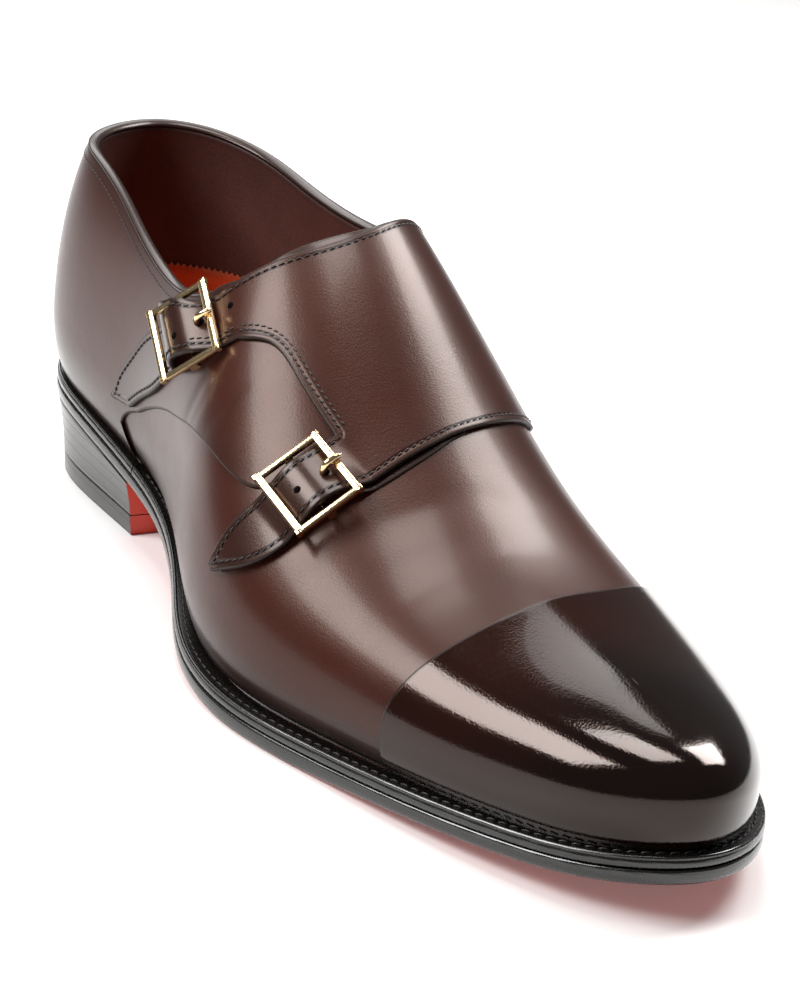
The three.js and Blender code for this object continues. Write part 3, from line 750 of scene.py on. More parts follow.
def stacked_heel(name, colour):
    """Heel built of leather lifts: faint lines between them, inked and waxed."""
    f = Finish(name)
    z = f.axis("Z")
    cloud, fine, fibre = f.noise(18.0), f.noise(0.7, 3.0, 0.6), f.noise(3.0, 4.0, 0.6)
    layer = (z * (WAVE / LIFT_THICK) + (cloud - 0.5) * 0.5).wave()
    joint = layer.step(0.93, 1.0) * 0.7
    tint = f.mix(cloud.step(0.3, 0.7), colour, shade(colour, 0.6))
    tint = f.mix(joint * 0.55, tint, shade(colour, 0.25))
    tint = f.mix((fibre - 0.5).step(0.05, 0.3) * 0.25, tint, linear((44, 34, 29)))
    height = f.bump(1.0 - joint, 0.08)
    height = f.bump(fine, 0.025, height)
    return f.done(Base_Color=tint, Roughness=0.3 + (fine - 0.5) * 0.18 + joint * 0.2,
                  Normal=height, Coat_Weight=0.35, Coat_Roughness=0.2)


def painted_sole(name, colour):
    """Painted sole leather, with a little of its fibre showing through."""
    f = Finish(name)
    cloud, fine, fibre = f.noise(30.0), f.noise(0.6, 4.0, 0.65), f.noise(2.4, 5.0, 0.7)
    tint = f.mix(cloud.step(0.3, 0.7), colour, shade(colour, 0.78))
    tint = f.mix((fibre - 0.5).step(0.1, 0.35) * 0.3, tint, shade(colour, 0.5))
    height = f.bump(fine, 0.05)
    return f.done(Base_Color=tint, Roughness=0.38 + (fine - 0.5) * 0.2, Normal=height,
                  Coat_Weight=0.25, Coat_Roughness=0.25)


def thread_finish(name, colour):
    f = Finish(name)
    twist = f.noise(0.35, 2.0, 0.6)
    tint = f.mix(twist.step(0.35, 0.65), colour, shade(colour, 0.4))
    return f.done(Base_Color=tint, Roughness=0.5 + (twist - 0.5) * 0.3,
                  Normal=f.bump(twist, 0.05))


# Inside of a strap hole: a near-black, dull disc, painted shadow in place of the hole's depth.
def hole_shadow_disc(name, colour):
    f = Finish(name)
    fibre = f.noise(0.4, 3.0, 0.6)
    tint = f.mix(fibre.step(0.35, 0.65), colour, shade(colour, 0.4))
    return f.done(Base_Color=tint, Roughness=0.9 + fibre * 0.05, Specular_IOR_Level=0.05)


def gold_plate(name, colour, dull):
    """Polished plating with fine hairlines and a little handling dullness."""
    f = Finish(name)
    cloud, hair, specks = f.noise(5.0), f.noise(0.5, 4.0, 0.7, 1.2), f.noise(1.6, 3.0, 0.6)
    tint = f.mix(cloud.step(0.35, 0.7) * 0.5, colour, dull)
    height = f.bump(hair, 0.006)
    return f.done(Base_Color=tint, Metallic=1.0, Normal=height,
                  Roughness=0.13 + (specks - 0.5) * 0.12 + (cloud - 0.5) * 0.05)


# ---------------------------------------------------------------- what a user may change
def colour_property(name, description, colour):
    return bpy.props.FloatVectorProperty(name=name, description=description, subtype="COLOR",
                                         size=4, min=0, max=1, default=colour)


def length_property(name, description, low, high, default):
    return bpy.props.FloatProperty(name=name, description=description, unit="LENGTH",
                                   min=low, max=high, default=default)


class ShoeLeathers(bpy.types.PropertyGroup):
    """Colours of the leathers, threads and metal."""

    calf: colour_property(
        "Calf", "Light tone of the polished upper leather", linear((50, 19, 12)))
    burnish: colour_property(
        "Burnish", "Dark tone rubbed into the upper leather", linear((25, 12, 9)))
    cap: colour_property("Cap", "Light tone of the toe cap", linear((30, 10, 6)))
    cap_dark: colour_property("Cap burnish", "Dark tone of the toe cap", linear((10, 4, 3)))
    lining: colour_property(
        "Quarter lining", "Leather that lines the quarters", linear((58, 30, 24)))
    sock: colour_property(
        "Sock", "Leather of the sock and the vamp lining", linear((206, 84, 30)))
    edge: colour_property("Sole edge", "Ink of the welt and the sole's edge", linear((10, 8, 7)))
    heel: colour_property("Heel", "Ink of the stacked heel", linear((18, 13, 11)))
    sole: colour_property(
        "Sole", "Paint of the outsole's underside and the heel's front", linear((206, 52, 20)))
    thread: colour_property("Thread", "Upper thread", linear((24, 13, 10)))
    metal: colour_property("Buckle", "Plating of the buckles", (0.83, 0.62, 0.36, 1.0))


class ShoeSizes(bpy.types.PropertyGroup):
    """Thicknesses and stitch sizes, in metres."""

    quarter: length_property(
        "Quarter", "Thickness of the quarters over the vamp", 0.0003, 0.002, 0.0009)
    strap: length_property(
        "Strap", "Height of the flap's straps over the last", 0.001, 0.003, 0.0022)
    cap: length_property("Cap", "Height of the toe cap over the last", 0.0005, 0.002, 0.0011)
    stitch_pitch: length_property(
        "Stitch pitch", "Distance from one stitch to the next", 0.001, 0.005, 0.0021)
    stitch_inset: length_property(
        "Stitch inset", "Distance from the edge to the row of stitches", 0.001, 0.004, 0.0018)
    thread: length_property("Thread", "Thickness of the thread", 0.0001, 0.001, 0.00042)


class ShoeStage(bpy.types.PropertyGroup):
    """Camera and light."""

    focal: bpy.props.FloatProperty(
        name="Focal length", description="Camera's focal length, for a 36 mm frame",
        subtype="DISTANCE_CAMERA", min=20, max=300, default=115.0)
    key: bpy.props.FloatProperty(
        name="Key light", description="Power of the large soft light",
        unit="POWER", min=0, max=500, default=10.0)
    sky: bpy.props.FloatProperty(
        name="Sky", description="Brightness of the light from all round",
        min=0, max=5, default=0.14)


LEATHERS, SIZES, STAGE = "shoe_leathers", "shoe_sizes", "shoe_stage"
GROUPS = {LEATHERS: ShoeLeathers, SIZES: ShoeSizes, STAGE: ShoeStage}
FINISHES = {}


def leathers():
    return getattr(bpy.context.scene, LEATHERS)


def size(name):
    return getattr(getattr(bpy.context.scene, SIZES), name) / MM


def finish(key):
    """One material of each kind, made when it is first asked for."""
    if key not in FINISHES:
        c = leathers()
        calf, burnish = tuple(c.calf), tuple(c.burnish)
        inset = size("stitch_inset")
        makers = {
            "vamp": lambda: polished_calf("vamp_calf", calf, burnish, 0.36, 0.9),
            "quarter": lambda: polished_calf("quarter_calf", calf, burnish, 0.36, 0.8),
            "flap": lambda: polished_calf("flap_calf", calf, burnish, 0.33, 0.7, inset),
            "cap": lambda: polished_calf("cap_calf", tuple(c.cap), tuple(c.cap_dark), 0.13,
                                         0.3, None, 0.38, 0.055),
            "binding": lambda: polished_calf("binding_calf", burnish, burnish, 0.4, 0.0),
            "lining": lambda: lining_leather("quarter_lining", tuple(c.lining),
                                             shade(c.lining, 1.5)),
            "vamp_lining": lambda: lining_leather("vamp_lining", tuple(c.sock),
                                                  shade(c.sock, 0.8)),
            "sock": lambda: lining_leather("sock_leather", tuple(c.sock),
                                           shade(c.sock, 0.85)),
            "edge": lambda: waxed_edge("sole_edge", tuple(c.edge)),
            "heel": lambda: stacked_heel("heel_lifts", tuple(c.heel)),
            "sole": lambda: painted_sole("painted_sole", tuple(c.sole)),
            "thread": lambda: thread_finish("thread", tuple(c.thread)),
            "welt_thread": lambda: thread_finish("welt_thread", linear((26, 21, 18))),
            # Near-black discs of painted shadow for the strap holes.
            "hole": lambda: hole_shadow_disc("painted_hole_shadow", linear((6, 4, 3))),
            "gold": lambda: gold_plate("gold_plate", tuple(c.metal), shade(c.metal, 0.82)),
        }
        FINISHES[key] = makers[key]()
    return FINISHES[key]


# ---------------------------------------------------------------- upper
LOW = np.linspace(LOW_ANGLE, 0, 13)


def over_rows(crown=34, low=LOW):
    """Angles across the whole foot, from the outer feather line to the inner one."""
    side = np.concatenate([low, np.linspace(0, 90, crown + 1)[1:]])
    return np.concatenate([side, 180 - side[:-1][::-1]])


def tone_by_place(station, angle):
    """How dark the leather's colour is made: burnished at the heel and the toe, and darker
    towards the bottom of the sides.
    """
    u, a = sides(station, angle)
    along = np.minimum(u, LOOP - u)
    low = 1 - smooth(a, -50, 12)
    heel = 1 - smooth(along, 0.3, 3.4)
    toe = smooth(along, 8.6, 11.5)
    return np.clip(0.2 + 0.6 * low + 0.5 * heel + 0.45 * toe, 0, 1)


# Soft creases as (station, angle) from one end to the other, depth and half-width in mm.
VAMP_CREASES = [
    ((8.45, 28), (8.75, 118), -0.16, 3.4),
    ((8.75, 40), (9.05, 104), 0.12, 3.0),
    ((9.15, 30), (9.3, 96), -0.12, 3.2),
]
WINDOW_CREASES = [
    ((6.35, 38), (6.0, 12), -0.22, 1.6),
    ((6.6, 40), (6.35, 15), 0.16, 1.5),
    ((6.85, 42), (6.6, 22), -0.18, 1.5),
    ((5.1, 14), (4.6, 24), -0.2, 2.2),
]


CREASE_STEPS = 24  # places along a crease


def creases(station, angle, table):
    """Soft troughs (below 0) and ridges along straight lines on the surface."""
    p = over_foot(station, angle)
    height = np.zeros(p.shape[:-1])
    for start, end, depth, width in table:
        line = over_foot(*np.linspace(start, end, CREASE_STEPS).T)
        gap = np.linalg.norm(p[..., None, :] - line, axis=-1)
        near = gap.argmin(axis=-1) / (CREASE_STEPS - 1)
        fade = np.sin(np.pi * np.clip(near, 0.02, 0.98)) ** 0.7
        height = height + depth * fade * np.exp(-(gap.min(axis=-1) / width) ** 2)
    return height


def outline_between(back, front, rows):
    """Stations and angles of a grid between two paths."""
    t = np.linspace(0, 1, rows + 1)
    s = back[:, :1] + (front[:, :1] - back[:, :1]) * t
    a = back[:, 1:] + (front[:, 1:] - back[:, 1:]) * t
    return s, a


def topline_path(start, end, count, inner):
    """A path along the topline of one side, from station start to station end."""
    station = np.linspace(start, end, count + 1)
    angle = end_angle(LOOP - station if inner else station)
    return np.column_stack([station, 180 - angle if inner else angle])


class ShoeVamp(bpy.types.Operator):
    """Make the vamp, closed round the toe, with its soft creases"""

    bl_idname = "shoe.vamp"
    bl_label = "Vamp"

    def execute(self, context):
        angle = over_rows(36)
        back = Curve([-58, -20, 5, 20, 33, 50, 90, 135, 150, 160, 172, 180, 200, 238],
                     [3.3, 3.5, 4.3, 5.7, 6.9, 7.5, 7.5, 7.2, 6.9, 6.3, 4.8, 4.0, 3.6, 3.4])
        start = back.at(angle)
        t = np.linspace(0, 1, 85)[:, None]
        station = start + (TOE - start) * t
        a = np.broadcast_to(angle, station.shape)
        outer = creases(station, a, VAMP_CREASES)
        leather_piece("vamp", LAST_SHEET, station, a, outer, -1.1, finish("vamp"),
                      ["upper"], tone=tone_by_place(station, a))
        return {"FINISHED"}


class ShoeQuarter(bpy.types.Operator):
    """Make the outer quarter, from the back seam to its rolled front edge"""

    bl_idname = "shoe.quarter"
    bl_label = "Outer quarter"

    def execute(self, context):
        seam = trace([(s, w * SEAM_SQUEEZE if w < 0 else w) for s, w in OUTER_SEAM], 84)
        seam[:, 1] = np.where(seam[:, 1] < 0, seam[:, 1] / SEAM_SQUEEZE, seam[:, 1])
        low = join(trace([(0.03, -58), (1.9, -58), (4.16, -58)], 46), seam)
        high = join(topline_path(0.03, 3.5, 46, False), topline_path(3.5, 5.6, 50, False),
                    trace([(5.6, end_angle(5.6)), (5.9, 47), (6.5, 60), (7.2, 66),
                           (7.72, 67)], 34))
        station, a = outline_between(low, high, 44)
        outer = size("quarter") + creases(station, a, WINDOW_CREASES)
        leather_piece("outer_quarter", LAST_SHEET, station, a, outer, 0.04, finish("quarter"),
                      tone=tone_by_place(station, a), rounding=0.42)
        return {"FINISHED"}


ACROSS = [("back", "notch", 12), ("notch", "inner_a", 6), ("inner_a", "inner_b", 9),
          ("inner_b", "gap", 9), ("gap", "front", 12)]
ACROSS_CELLS = 48
NOTCH_CELL, GAP_CELL = 12, 36  # where the upper strap ends and the lower one begins, across
QUARTER_CELLS = 74
BODY_CELLS = 40
UPPER_STRAP_CELLS = 56
LOWER_STRAP_CELLS = 48
BODY_END, UPPER_TIP, LOWER_TIP = 4, 11, 10  # places along the guide lines
ROUND_TIP = 0.74  # share of the upper strap from which it narrows to its tip


def guide(name, r):
    """Stations and angles along one of the flap's guide lines."""
    points = np.asarray(FLAP[name], float)
    if name == "back":
        points[0] = 5.5, 180 - float(end_angle(np.array([LOOP - 5.5]))[0])
    return Curve(np.arange(len(points)), points).at(r)


def flap_grid():
    """Stations and angles of the inner quarter, the flap and both straps as one piece."""
    names = ["back", "notch", "inner_a", "inner_b", "gap", "front"]
    marks = np.concatenate([[0], np.cumsum([cells for _, _, cells in ACROSS])])
    across = np.arange(ACROSS_CELLS + 1)
    r = np.linspace(0, BODY_END, BODY_CELLS + 1)
    body = np.zeros((ACROSS_CELLS + 1, BODY_CELLS + 1, 2))
    for j, rr in enumerate(r):
        body[:, j] = Curve(marks, np.array([guide(n, rr) for n in names])).at(across)
    straps = np.zeros((ACROSS_CELLS + 1, UPPER_STRAP_CELLS + 1, 2))
    for j in range(UPPER_STRAP_CELLS + 1):
        up = BODY_END + (UPPER_TIP - BODY_END) * j / UPPER_STRAP_CELLS
        down = BODY_END + (LOWER_TIP - BODY_END) * min(1, j / LOWER_STRAP_CELLS)
        f = (np.arange(NOTCH_CELL + 1) / NOTCH_CELL)[:, None]
        b, n = guide("back", up), guide("notch", up)
        g, e = guide("gap", down), guide("front", down)
        tip = max(0.0, (j / UPPER_STRAP_CELLS - ROUND_TIP) / 0.26)
        narrow = math.sqrt(1 - 0.99 * tip ** 3)
        straps[:NOTCH_CELL + 1, j] = b + (n - b) * (0.5 + (f - 0.5) * narrow)
        straps[GAP_CELL:, j] = g + (e - g) * f
        straps[NOTCH_CELL + 1:GAP_CELL, j] = straps[NOTCH_CELL, j]
    start = body[:, 0]
    top = topline_path(0.03, start[0][0], QUARTER_CELLS, True)
    top[:, 1] += (start[0][1] - top[-1, 1]) * smooth(np.linspace(0, 1, len(top)), 0.6, 1)
    bottom = join(trace([(0.03, 238), (1.9, 238), (3.92, 238)], 34), trace(INNER_SEAM, 32),
                  trace([(6.78, 160), (7.18, 150), tuple(start[-1])], 8))
    even = across / ACROSS_CELLS
    span = start[-1] - start[0]
    placed = (start[:, 0] - start[0, 0]) / span[0]
    quarter = np.zeros((ACROSS_CELLS + 1, QUARTER_CELLS + 1, 2))
    for j in range(QUARTER_CELLS + 1):
        w = smooth(j / QUARTER_CELLS, 0.4, 1.0)
        share = (even * (1 - w) + placed * w)[:, None]
        quarter[:, j] = top[j] + (bottom[j] - top[j]) * share
        off = start - (top[-1] + (bottom[-1] - top[-1]) * placed[:, None])
        quarter[:, j] += off * smooth(j / QUARTER_CELLS, 0.7, 1.0)
    whole = np.concatenate([quarter, body[:, 1:], straps[:, 1:]], axis=1)
    r_along = np.concatenate([np.linspace(-3, 0, QUARTER_CELLS + 1), r[1:],
                              BODY_END + (UPPER_TIP - BODY_END)
                              * np.arange(1, UPPER_STRAP_CELLS + 1) / UPPER_STRAP_CELLS])
    i, j = np.meshgrid(np.arange(ACROSS_CELLS), np.arange(whole.shape[1] - 1), indexing="ij")
    split = QUARTER_CELLS + BODY_CELLS
    keep = ((j < split) | ((i < NOTCH_CELL) & (j < split + UPPER_STRAP_CELLS))
            | ((i >= GAP_CELL) & (j < split + LOWER_STRAP_CELLS)))
    return whole[..., 0], whole[..., 1], keep, r_along


def flap_height(r):
    """Height of the flap's outer face over the last along it: it climbs onto the straps."""
    return size("quarter") + (size("strap") - size("quarter")) * smooth(r, -1.2, 2.7)


class ShoeFlap(bpy.types.Operator):
    """Make the inner quarter with the flap and its two straps, cut from one piece"""

    bl_idname = "shoe.flap"
    bl_label = "Flap and straps"

    def execute(self, context):
        station, a, keep, r = flap_grid()
        outer = flap_height(r)[None, :] * np.ones_like(station)
        inner = np.maximum(0.04, outer - 1.3)
        tone = tone_by_place(station, a)
        straps = smooth(r, 3.6, 5.5)[None, :]
        tone = tone * (1 - straps) + 0.55 * straps
        leather_piece("flap_and_inner_quarter", FLAP_SHEET, station, a, outer, inner,
                      finish("flap"), ["monk_flap"], keep, 0.45, tone)
        return {"FINISHED"}


class ShoeUnderlay(bpy.types.Operator):
    """Make the second layer that shows under the flap's front edge"""

    bl_idname = "shoe.underlay"
    bl_label = "Flap underlay"

    def execute(self, context):
        r = np.linspace(1.7, 4.7, 90)
        line = guide("front", r)
        peek = 1.9 * np.sin(np.pi * np.linspace(0.02, 0.98, 90)) ** 0.8
        paths = [inset(FLAP_SHEET, line, -(4.0 - (4.0 + peek) * t))
                 for t in np.linspace(0, 1, 12)]
        station = np.array([p[:, 0] for p in paths])
        a = np.array([p[:, 1] for p in paths])
        leather_piece("flap_underlay", FLAP_SHEET, station, a, 0.5, 0.03, finish("flap"),
                      tone=0.7, rounding=0.3)
        return {"FINISHED"}


class ShoeCap(bpy.types.Operator):
    """Make the toe cap with its thin raised edge"""

    bl_idname = "shoe.cap"
    bl_label = "Toe cap"

    def execute(self, context):
        angle = over_rows(38)
        start = cap_station(angle)
        t = np.concatenate([[0, 0.02], np.linspace(0.05, 1, 58)])[:, None]
        station = start + (TOE - start) * t
        a = np.broadcast_to(angle, station.shape)
        tone = np.clip(0.35 + 0.65 * smooth(t, 0.1, 0.75) + 0.3 * (1 - smooth(
            sides(station, a)[1], -40, 20)), 0, 1)
        leather_piece("toe_cap", LAST_SHEET, station, a, size("cap"), 0.06, finish("cap"),
                      ["toe_cap"], rounding=0.5, tone=tone)
        return {"FINISHED"}


class ShoeTongue(bpy.types.Operator):
    """Make the tongue under the flap"""

    bl_idname = "shoe.tongue"
    bl_label = "Tongue"

    def execute(self, context):
        angle = np.linspace(38, 142, 57)
        start = Curve(TONGUE_EDGE[:, 0], TONGUE_EDGE[:, 1]).at(angle)
        t = np.linspace(0, 1, 33)[:, None]
        station = start + (7.75 - start) * t
        a = np.broadcast_to(angle, station.shape)
        leather_piece("tongue", LAST_SHEET, station, a, -0.12, -1.25, finish("quarter"),
                      ["tongue"], tone=0.55, rounding=0.4)
        return {"FINISHED"}


LINING_EDGE = Curve([-58, 0, 18, 30, 42, 60, 90, 120, 136, 145, 156, 168, 180, 238],
                    [5.3, 5.3, 5.6, 6.4, 7.2, 7.6, 7.7, 7.5, 6.6, 6.05, 5.75, 5.4, 5.1, 4.8])


class ShoeLinings(bpy.types.Operator):
    """Make the quarters' lining and the vamp's lining inside"""

    bl_idname = "shoe.linings"
    bl_label = "Linings"

    def execute(self, context):
        u = np.linspace(-5.0, 5.2, 125)
        top = end_angle(u)
        share = np.concatenate([[0, 0.015], np.linspace(0.04, 0.97, 44), [0.99, 1.0]])
        a = -56 + (top[:, None] + 56 - 0.5) * share
        u = np.broadcast_to(u[:, None], a.shape)
        station = np.where(u < 0, -u, u)
        angle = np.where(u < 0, 180 - a, a)
        leather_piece("quarter_lining", LAST_SHEET, station, angle, -1.15, -2.2,
                      finish("lining"), tone=0.0)
        angle = over_rows(30)
        start = LINING_EDGE.at(angle)
        station = start + (TOE - start) * np.linspace(0, 1, 61)[:, None]
        a = np.broadcast_to(angle, station.shape)
        leather_piece("vamp_lining", LAST_SHEET, station, a, -1.4, -2.0,
                      finish("vamp_lining"), tone=0.0)
        return {"FINISHED"}


def tube(name, line, across, up, wide, high, material, corners=14):
    """A bead of oval section along a line. across and up are its two directions."""
    turn = np.linspace(0, 2 * np.pi, corners, endpoint=False)
    taper = np.sqrt(np.clip(np.minimum(np.arange(len(line)), np.arange(len(line))[::-1]) / 3.0,
                            0.05, 1))[:, None, None]
    sections = (line[:, None] + taper * (
        across[:, None] * (wide * np.cos(turn))[None, :, None]
        + up[:, None] * (high * np.sin(turn))[None, :, None]))
    values = even_values(len(sections) * corners, 3.0, 0.8)
    return loft_piece(name, sections, material, values=values)


class ShoeBinding(bpy.types.Operator):
    """Make the rolled bead along the topline and the tab at the back"""

    bl_idname = "shoe.binding"
    bl_label = "Topline binding and back tab"

    def execute(self, context):
        u = np.linspace(-5.49, 5.66, 220)
        top = end_angle(u)
        station, angle = np.where(u < 0, -u, u), np.where(u < 0, 180 - top, top)
        n = LAST_SHEET.out(station, angle)
        line = LAST_SHEET.at(station, angle)
        along = unit(np.gradient(line, axis=0))
        up = unit(np.cross(n, along))
        up = up * np.sign(up[:, 2:3])
        tube("topline_binding", line - n * 0.62 + up * 0.1, n, up, 1.72, 0.85,
             finish("binding"))
        u = np.linspace(-0.3, 0.3, 25)
        top = end_angle(u)
        t = np.linspace(0, 1, 29)
        drop = 13.5 + 1.8 * (1 - (u / 0.3) ** 2)
        a = top[:, None] - drop[:, None] * t
        station = np.abs(u)[:, None] * np.ones_like(a)
        angle = np.where(u[:, None] < 0, 180 - a, a)
        leather_piece("back_tab", LAST_SHEET, station, angle, 1.75, 0.6, finish("flap"),
                      ["back_tab"], tone=0.85, rounding=0.5)
        return {"FINISHED"}


# ---------------------------------------------------------------- stitching
def inset(sheet, path, distance):
    """Moves a path of (station, angle) sideways over the surface by this many mm."""
    s, a = path[:, 0], path[:, 1]
    for _ in range(2):
        p = sheet.at(s, a)
        n = sheet.out(s, a)
        tangent = unit(np.gradient(p, axis=0))
        aside = np.cross(n, tangent) * np.reshape(distance, (-1, 1))
        target = sheet.at(path[:, 0], path[:, 1]) + aside
        ds = (sheet.at(s + 0.01, a) - p) / 0.01
        da = (sheet.at(s, a + 0.3) - p) / 0.3
        m = np.stack([ds, da], -1)
        step = np.linalg.pinv(m) @ (target - p)[..., None]
        s, a = s + step[:, 0, 0], a + step[:, 1, 0]
    return np.column_stack([s, a])


def dense(path, count=400):
    """The same path with this many places, evenly along its own places."""
    t = np.linspace(0, 1, len(path))
    return Curve(t, path).at(np.linspace(0, 1, count))


class Stitches:
    """Collects stitches as small sunk threads and makes one mesh of them."""

    SLANT = 0.16  # turn of each stitch out of its row's direction

    def __init__(self):
        turn = np.linspace(0, 2 * np.pi, 6, endpoint=False)
        profile = [(-0.5, 0.55, -0.75), (-0.36, 0.95, 0.15), (0.0, 1.0, 0.6),
                   (0.36, 0.95, 0.15), (0.5, 0.55, -0.75)]
        ring = [[x, r * np.cos(t), z + r * np.sin(t)] for x, r, z in profile for t in turn]
        self.shape = np.array(ring)
        self.faces = ring_faces(len(profile), len(turn))
        self.places, self.all_faces = [], []

    def one(self, centre, along, off, length, radius):
        side = unit(np.cross(off, along))
        along, side = (along * math.cos(self.SLANT) + side * math.sin(self.SLANT),
                       side * math.cos(self.SLANT) - along * math.sin(self.SLANT))
        base = len(self.shape) * len(self.places)
        local = self.shape * np.array([length, radius, radius])
        self.places.append(centre + local[:, :1] * along + local[:, 1:2] * side
                           + local[:, 2:] * off)
        self.all_faces += [[c + base for c in f] for f in self.faces]

    def row(self, sheet, path, height, pitch, radius=None, guard=None):
        """A row along a path. height is a number or one value for each place."""
        radius = radius or size("thread") / 2
        n = sheet.out(path[:, 0], path[:, 1])
        line = sheet.at(path[:, 0], path[:, 1]) + n * np.reshape(height, (-1, 1))
        self.along(line, n, pitch, 0.74, radius, guard)

    def along(self, line, n, pitch, fill, radius, guard=None):
        """A row along a line. Each stitch fills this share of the pitch."""
        step = np.linalg.norm(np.diff(line, axis=0), axis=1)
        t = np.concatenate([[0], np.cumsum(step)])
        count = max(1, int(t[-1] / pitch))
        at = (np.arange(count) + 0.5) * t[-1] / count
        for x in at:
            k = min(len(step) - 1, int(np.searchsorted(t, x) - 1))
            f = (x - t[k]) / max(step[k], 1e-6)
            centre = line[k] + (line[k + 1] - line[k]) * f
            off = unit(n[k] + (n[k + 1] - n[k]) * f)
            if guard is not None and not guard(centre):
                continue
            self.one(centre, unit(line[k + 1] - line[k]), off, t[-1] / count * fill, radius)

    def make(self, name, material, slot):
        return make_mesh(name, np.concatenate(self.places), self.all_faces, [material],
                         weighted=False)


class ShoeStitching(bpy.types.Operator):
    """Sew the flap, straps, topline, seams and tab"""

    bl_idname = "shoe.stitching"
    bl_label = "Stitching"

    def execute(self, context):
        pitch, edge = size("stitch_pitch"), size("stitch_inset")
        sewn = Stitches()
        lift = 0.02
        sides_of = (("back", UPPER_TIP, 1), ("front", LOWER_TIP, -1),
                    ("notch", UPPER_TIP, -1), ("gap", LOWER_TIP, 1))

        def flap_row(name, r0, r1, distance):
            r = np.linspace(r0, r1, 260)
            path = inset(FLAP_SHEET, guide(name, r), distance)
            return path, flap_height(r) + lift

        outline = np.concatenate([
            FLAP_SHEET.at(*guide(name, np.linspace(BODY_END, tip, 160)).T)
            for name, tip, _ in sides_of])

        def clear(centre):
            gap = np.linalg.norm(outline - centre, axis=1).min()
            return gap > math.hypot(edge * 0.93, size("strap"))

        for name, tip, side in sides_of:
            on_body = name in ("back", "front")
            if on_body:
                path, height = flap_row(name, 0.0, BODY_END, edge * side)
                sewn.row(FLAP_SHEET, path, height, pitch)
            start = BODY_END if on_body else BODY_END + 0.05
            path, height = flap_row(name, start, tip - 0.2, edge * side)
            sewn.row(FLAP_SHEET, path, height, pitch, guard=clear)
        marks = np.array([NOTCH_CELL, 18, 27, GAP_CELL])
        names = ["notch", "inner_a", "inner_b", "gap"]
        curve = Curve(marks, np.array([guide(n, BODY_END) for n in names]))
        notch = curve.at(np.linspace(NOTCH_CELL, GAP_CELL - 0.4, 200))
        second = edge + 1.3  # from the edge to the second row
        for distance, skip in ((edge, 0), (second, 4)):
            path = inset(FLAP_SHEET, notch, distance)[skip:]
            sewn.row(FLAP_SHEET, path, size("strap") + lift, pitch * 0.9)
        path = inset(FLAP_SHEET, guide("notch", np.linspace(BODY_END, 5.0, 60)), -second)
        sewn.row(FLAP_SHEET, path, size("strap") + lift, pitch * 0.9)

        quarter = size("quarter")
        for inner, end, side in ((False, 5.45, -1), (True, 5.5, 1)):
            path = inset(LAST_SHEET, topline_path(0.35, end, 400, inner), 3.0 * side)
            sewn.row(LAST_SHEET, path, quarter + lift, pitch * 0.9, radius=0.17)
        seam = inset(LAST_SHEET, dense(trace(INNER_SEAM, 60)), edge * -1)
        height = quarter + lift + (flap_height(-0.5) - quarter) * smooth(
            np.linspace(0, 1, 400), 0.75, 1)
        sewn.row(LAST_SHEET, seam, height, pitch)
        corner = dense(trace([(6.78, 160), (7.18, 150), tuple(guide("front", 0.0))], 20), 80)
        path = inset(LAST_SHEET, corner, edge * -1)
        sewn.row(LAST_SHEET, path, flap_height(-0.3) + lift, pitch)
        for shift in (0.0, 0.9):
            bar = np.linspace([6.62 + shift * 0.03, 158.2], [6.46 + shift * 0.03, 150.0], 30)
            bar[:, 0] += shift * 0.04
            sewn.row(LAST_SHEET, bar, flap_height(-0.6) + 0.1, pitch * 0.7)
        for side in (1, -1):
            drop = np.linspace(0.5, 12.6, 60)
            station = np.full(60, 0.235)
            a = end_angle(0.235 * side + np.zeros(60)) - drop
            path = np.column_stack([station, a if side > 0 else 180 - a])
            sewn.row(LAST_SHEET, path, 1.77, pitch)
        sewn.make("upper_stitching", finish("thread"), "flap_leather")
        return {"FINISHED"}


# ---------------------------------------------------------------- bottom
SHARP_SOLE = 48  # degrees between faces from which an edge of the bottom is sharp


def welt_top(s):
    return feather_at(s) - GAP


def welt_under(s):
    return welt_top(s) - WELT


def sole_top(s):
    return welt_under(s) - GAP


def two_sided(name, left, right, materials, stands_for=(), pick=None, front=False):
    """A solid between matching walls of the outer and the inner side.

    left and right hold rows of places from the top down. pick gives a face's material
    from its centre and normal, and front closes the last row.
    """
    rows, levels = left.shape[:2]
    places = np.concatenate([left.reshape(-1, 3), right.reshape(-1, 3)])
    far = rows * levels
    cell = [(j, k) for j in range(rows - 1) for k in range(levels - 1)]
    quads = [[j * levels + k, (j + 1) * levels + k, (j + 1) * levels + k + 1,
              j * levels + k + 1] for j, k in cell]
    quads += [[far + c for c in q[::-1]] for q in quads]
    for j in range(rows - 1):
        a, b = j * levels, (j + 1) * levels
        quads.append([b, a, far + a, far + b])
        a, b = a + levels - 1, b + levels - 1
        quads.append([a, b, far + b, far + a])
    if front:
        a = (rows - 1) * levels
        quads += [[a + k, a + k + 1, far + a + k + 1, far + a + k][::-1]
                  for k in range(levels - 1)]
    places, faces, _ = weld(places, np.array(quads), {}, 0.01)
    faces = facing_out(places, faces)
    which = None
    if pick is not None:
        which = []
        for f in faces:
            q = places[f]
            normal = unit(np.cross(q[1] - q[0], q[2] - q[0]) + 1e-12)
            which.append(pick(q.mean(axis=0), normal))
    return make_mesh(name, places, faces, materials, stands_for,
                     even_values(len(places)), which, sharp=SHARP_SOLE)


def walls(profile, steps, stop=None):
    """Both walls of a slab. profile(s) gives rows of (out, height) from the top down."""
    sides_of = []
    for mirrored in (False, True):
        end = TOE if stop is None else stop[int(mirrored)]
        u = np.linspace(0, end, steps + 1)
        u = LOOP - u if mirrored else u
        shape = np.array([profile(s) for s in foot_at(u)])
        sides_of.append(beside(u[:, None], shape[..., 0], shape[..., 1]))
    return sides_of


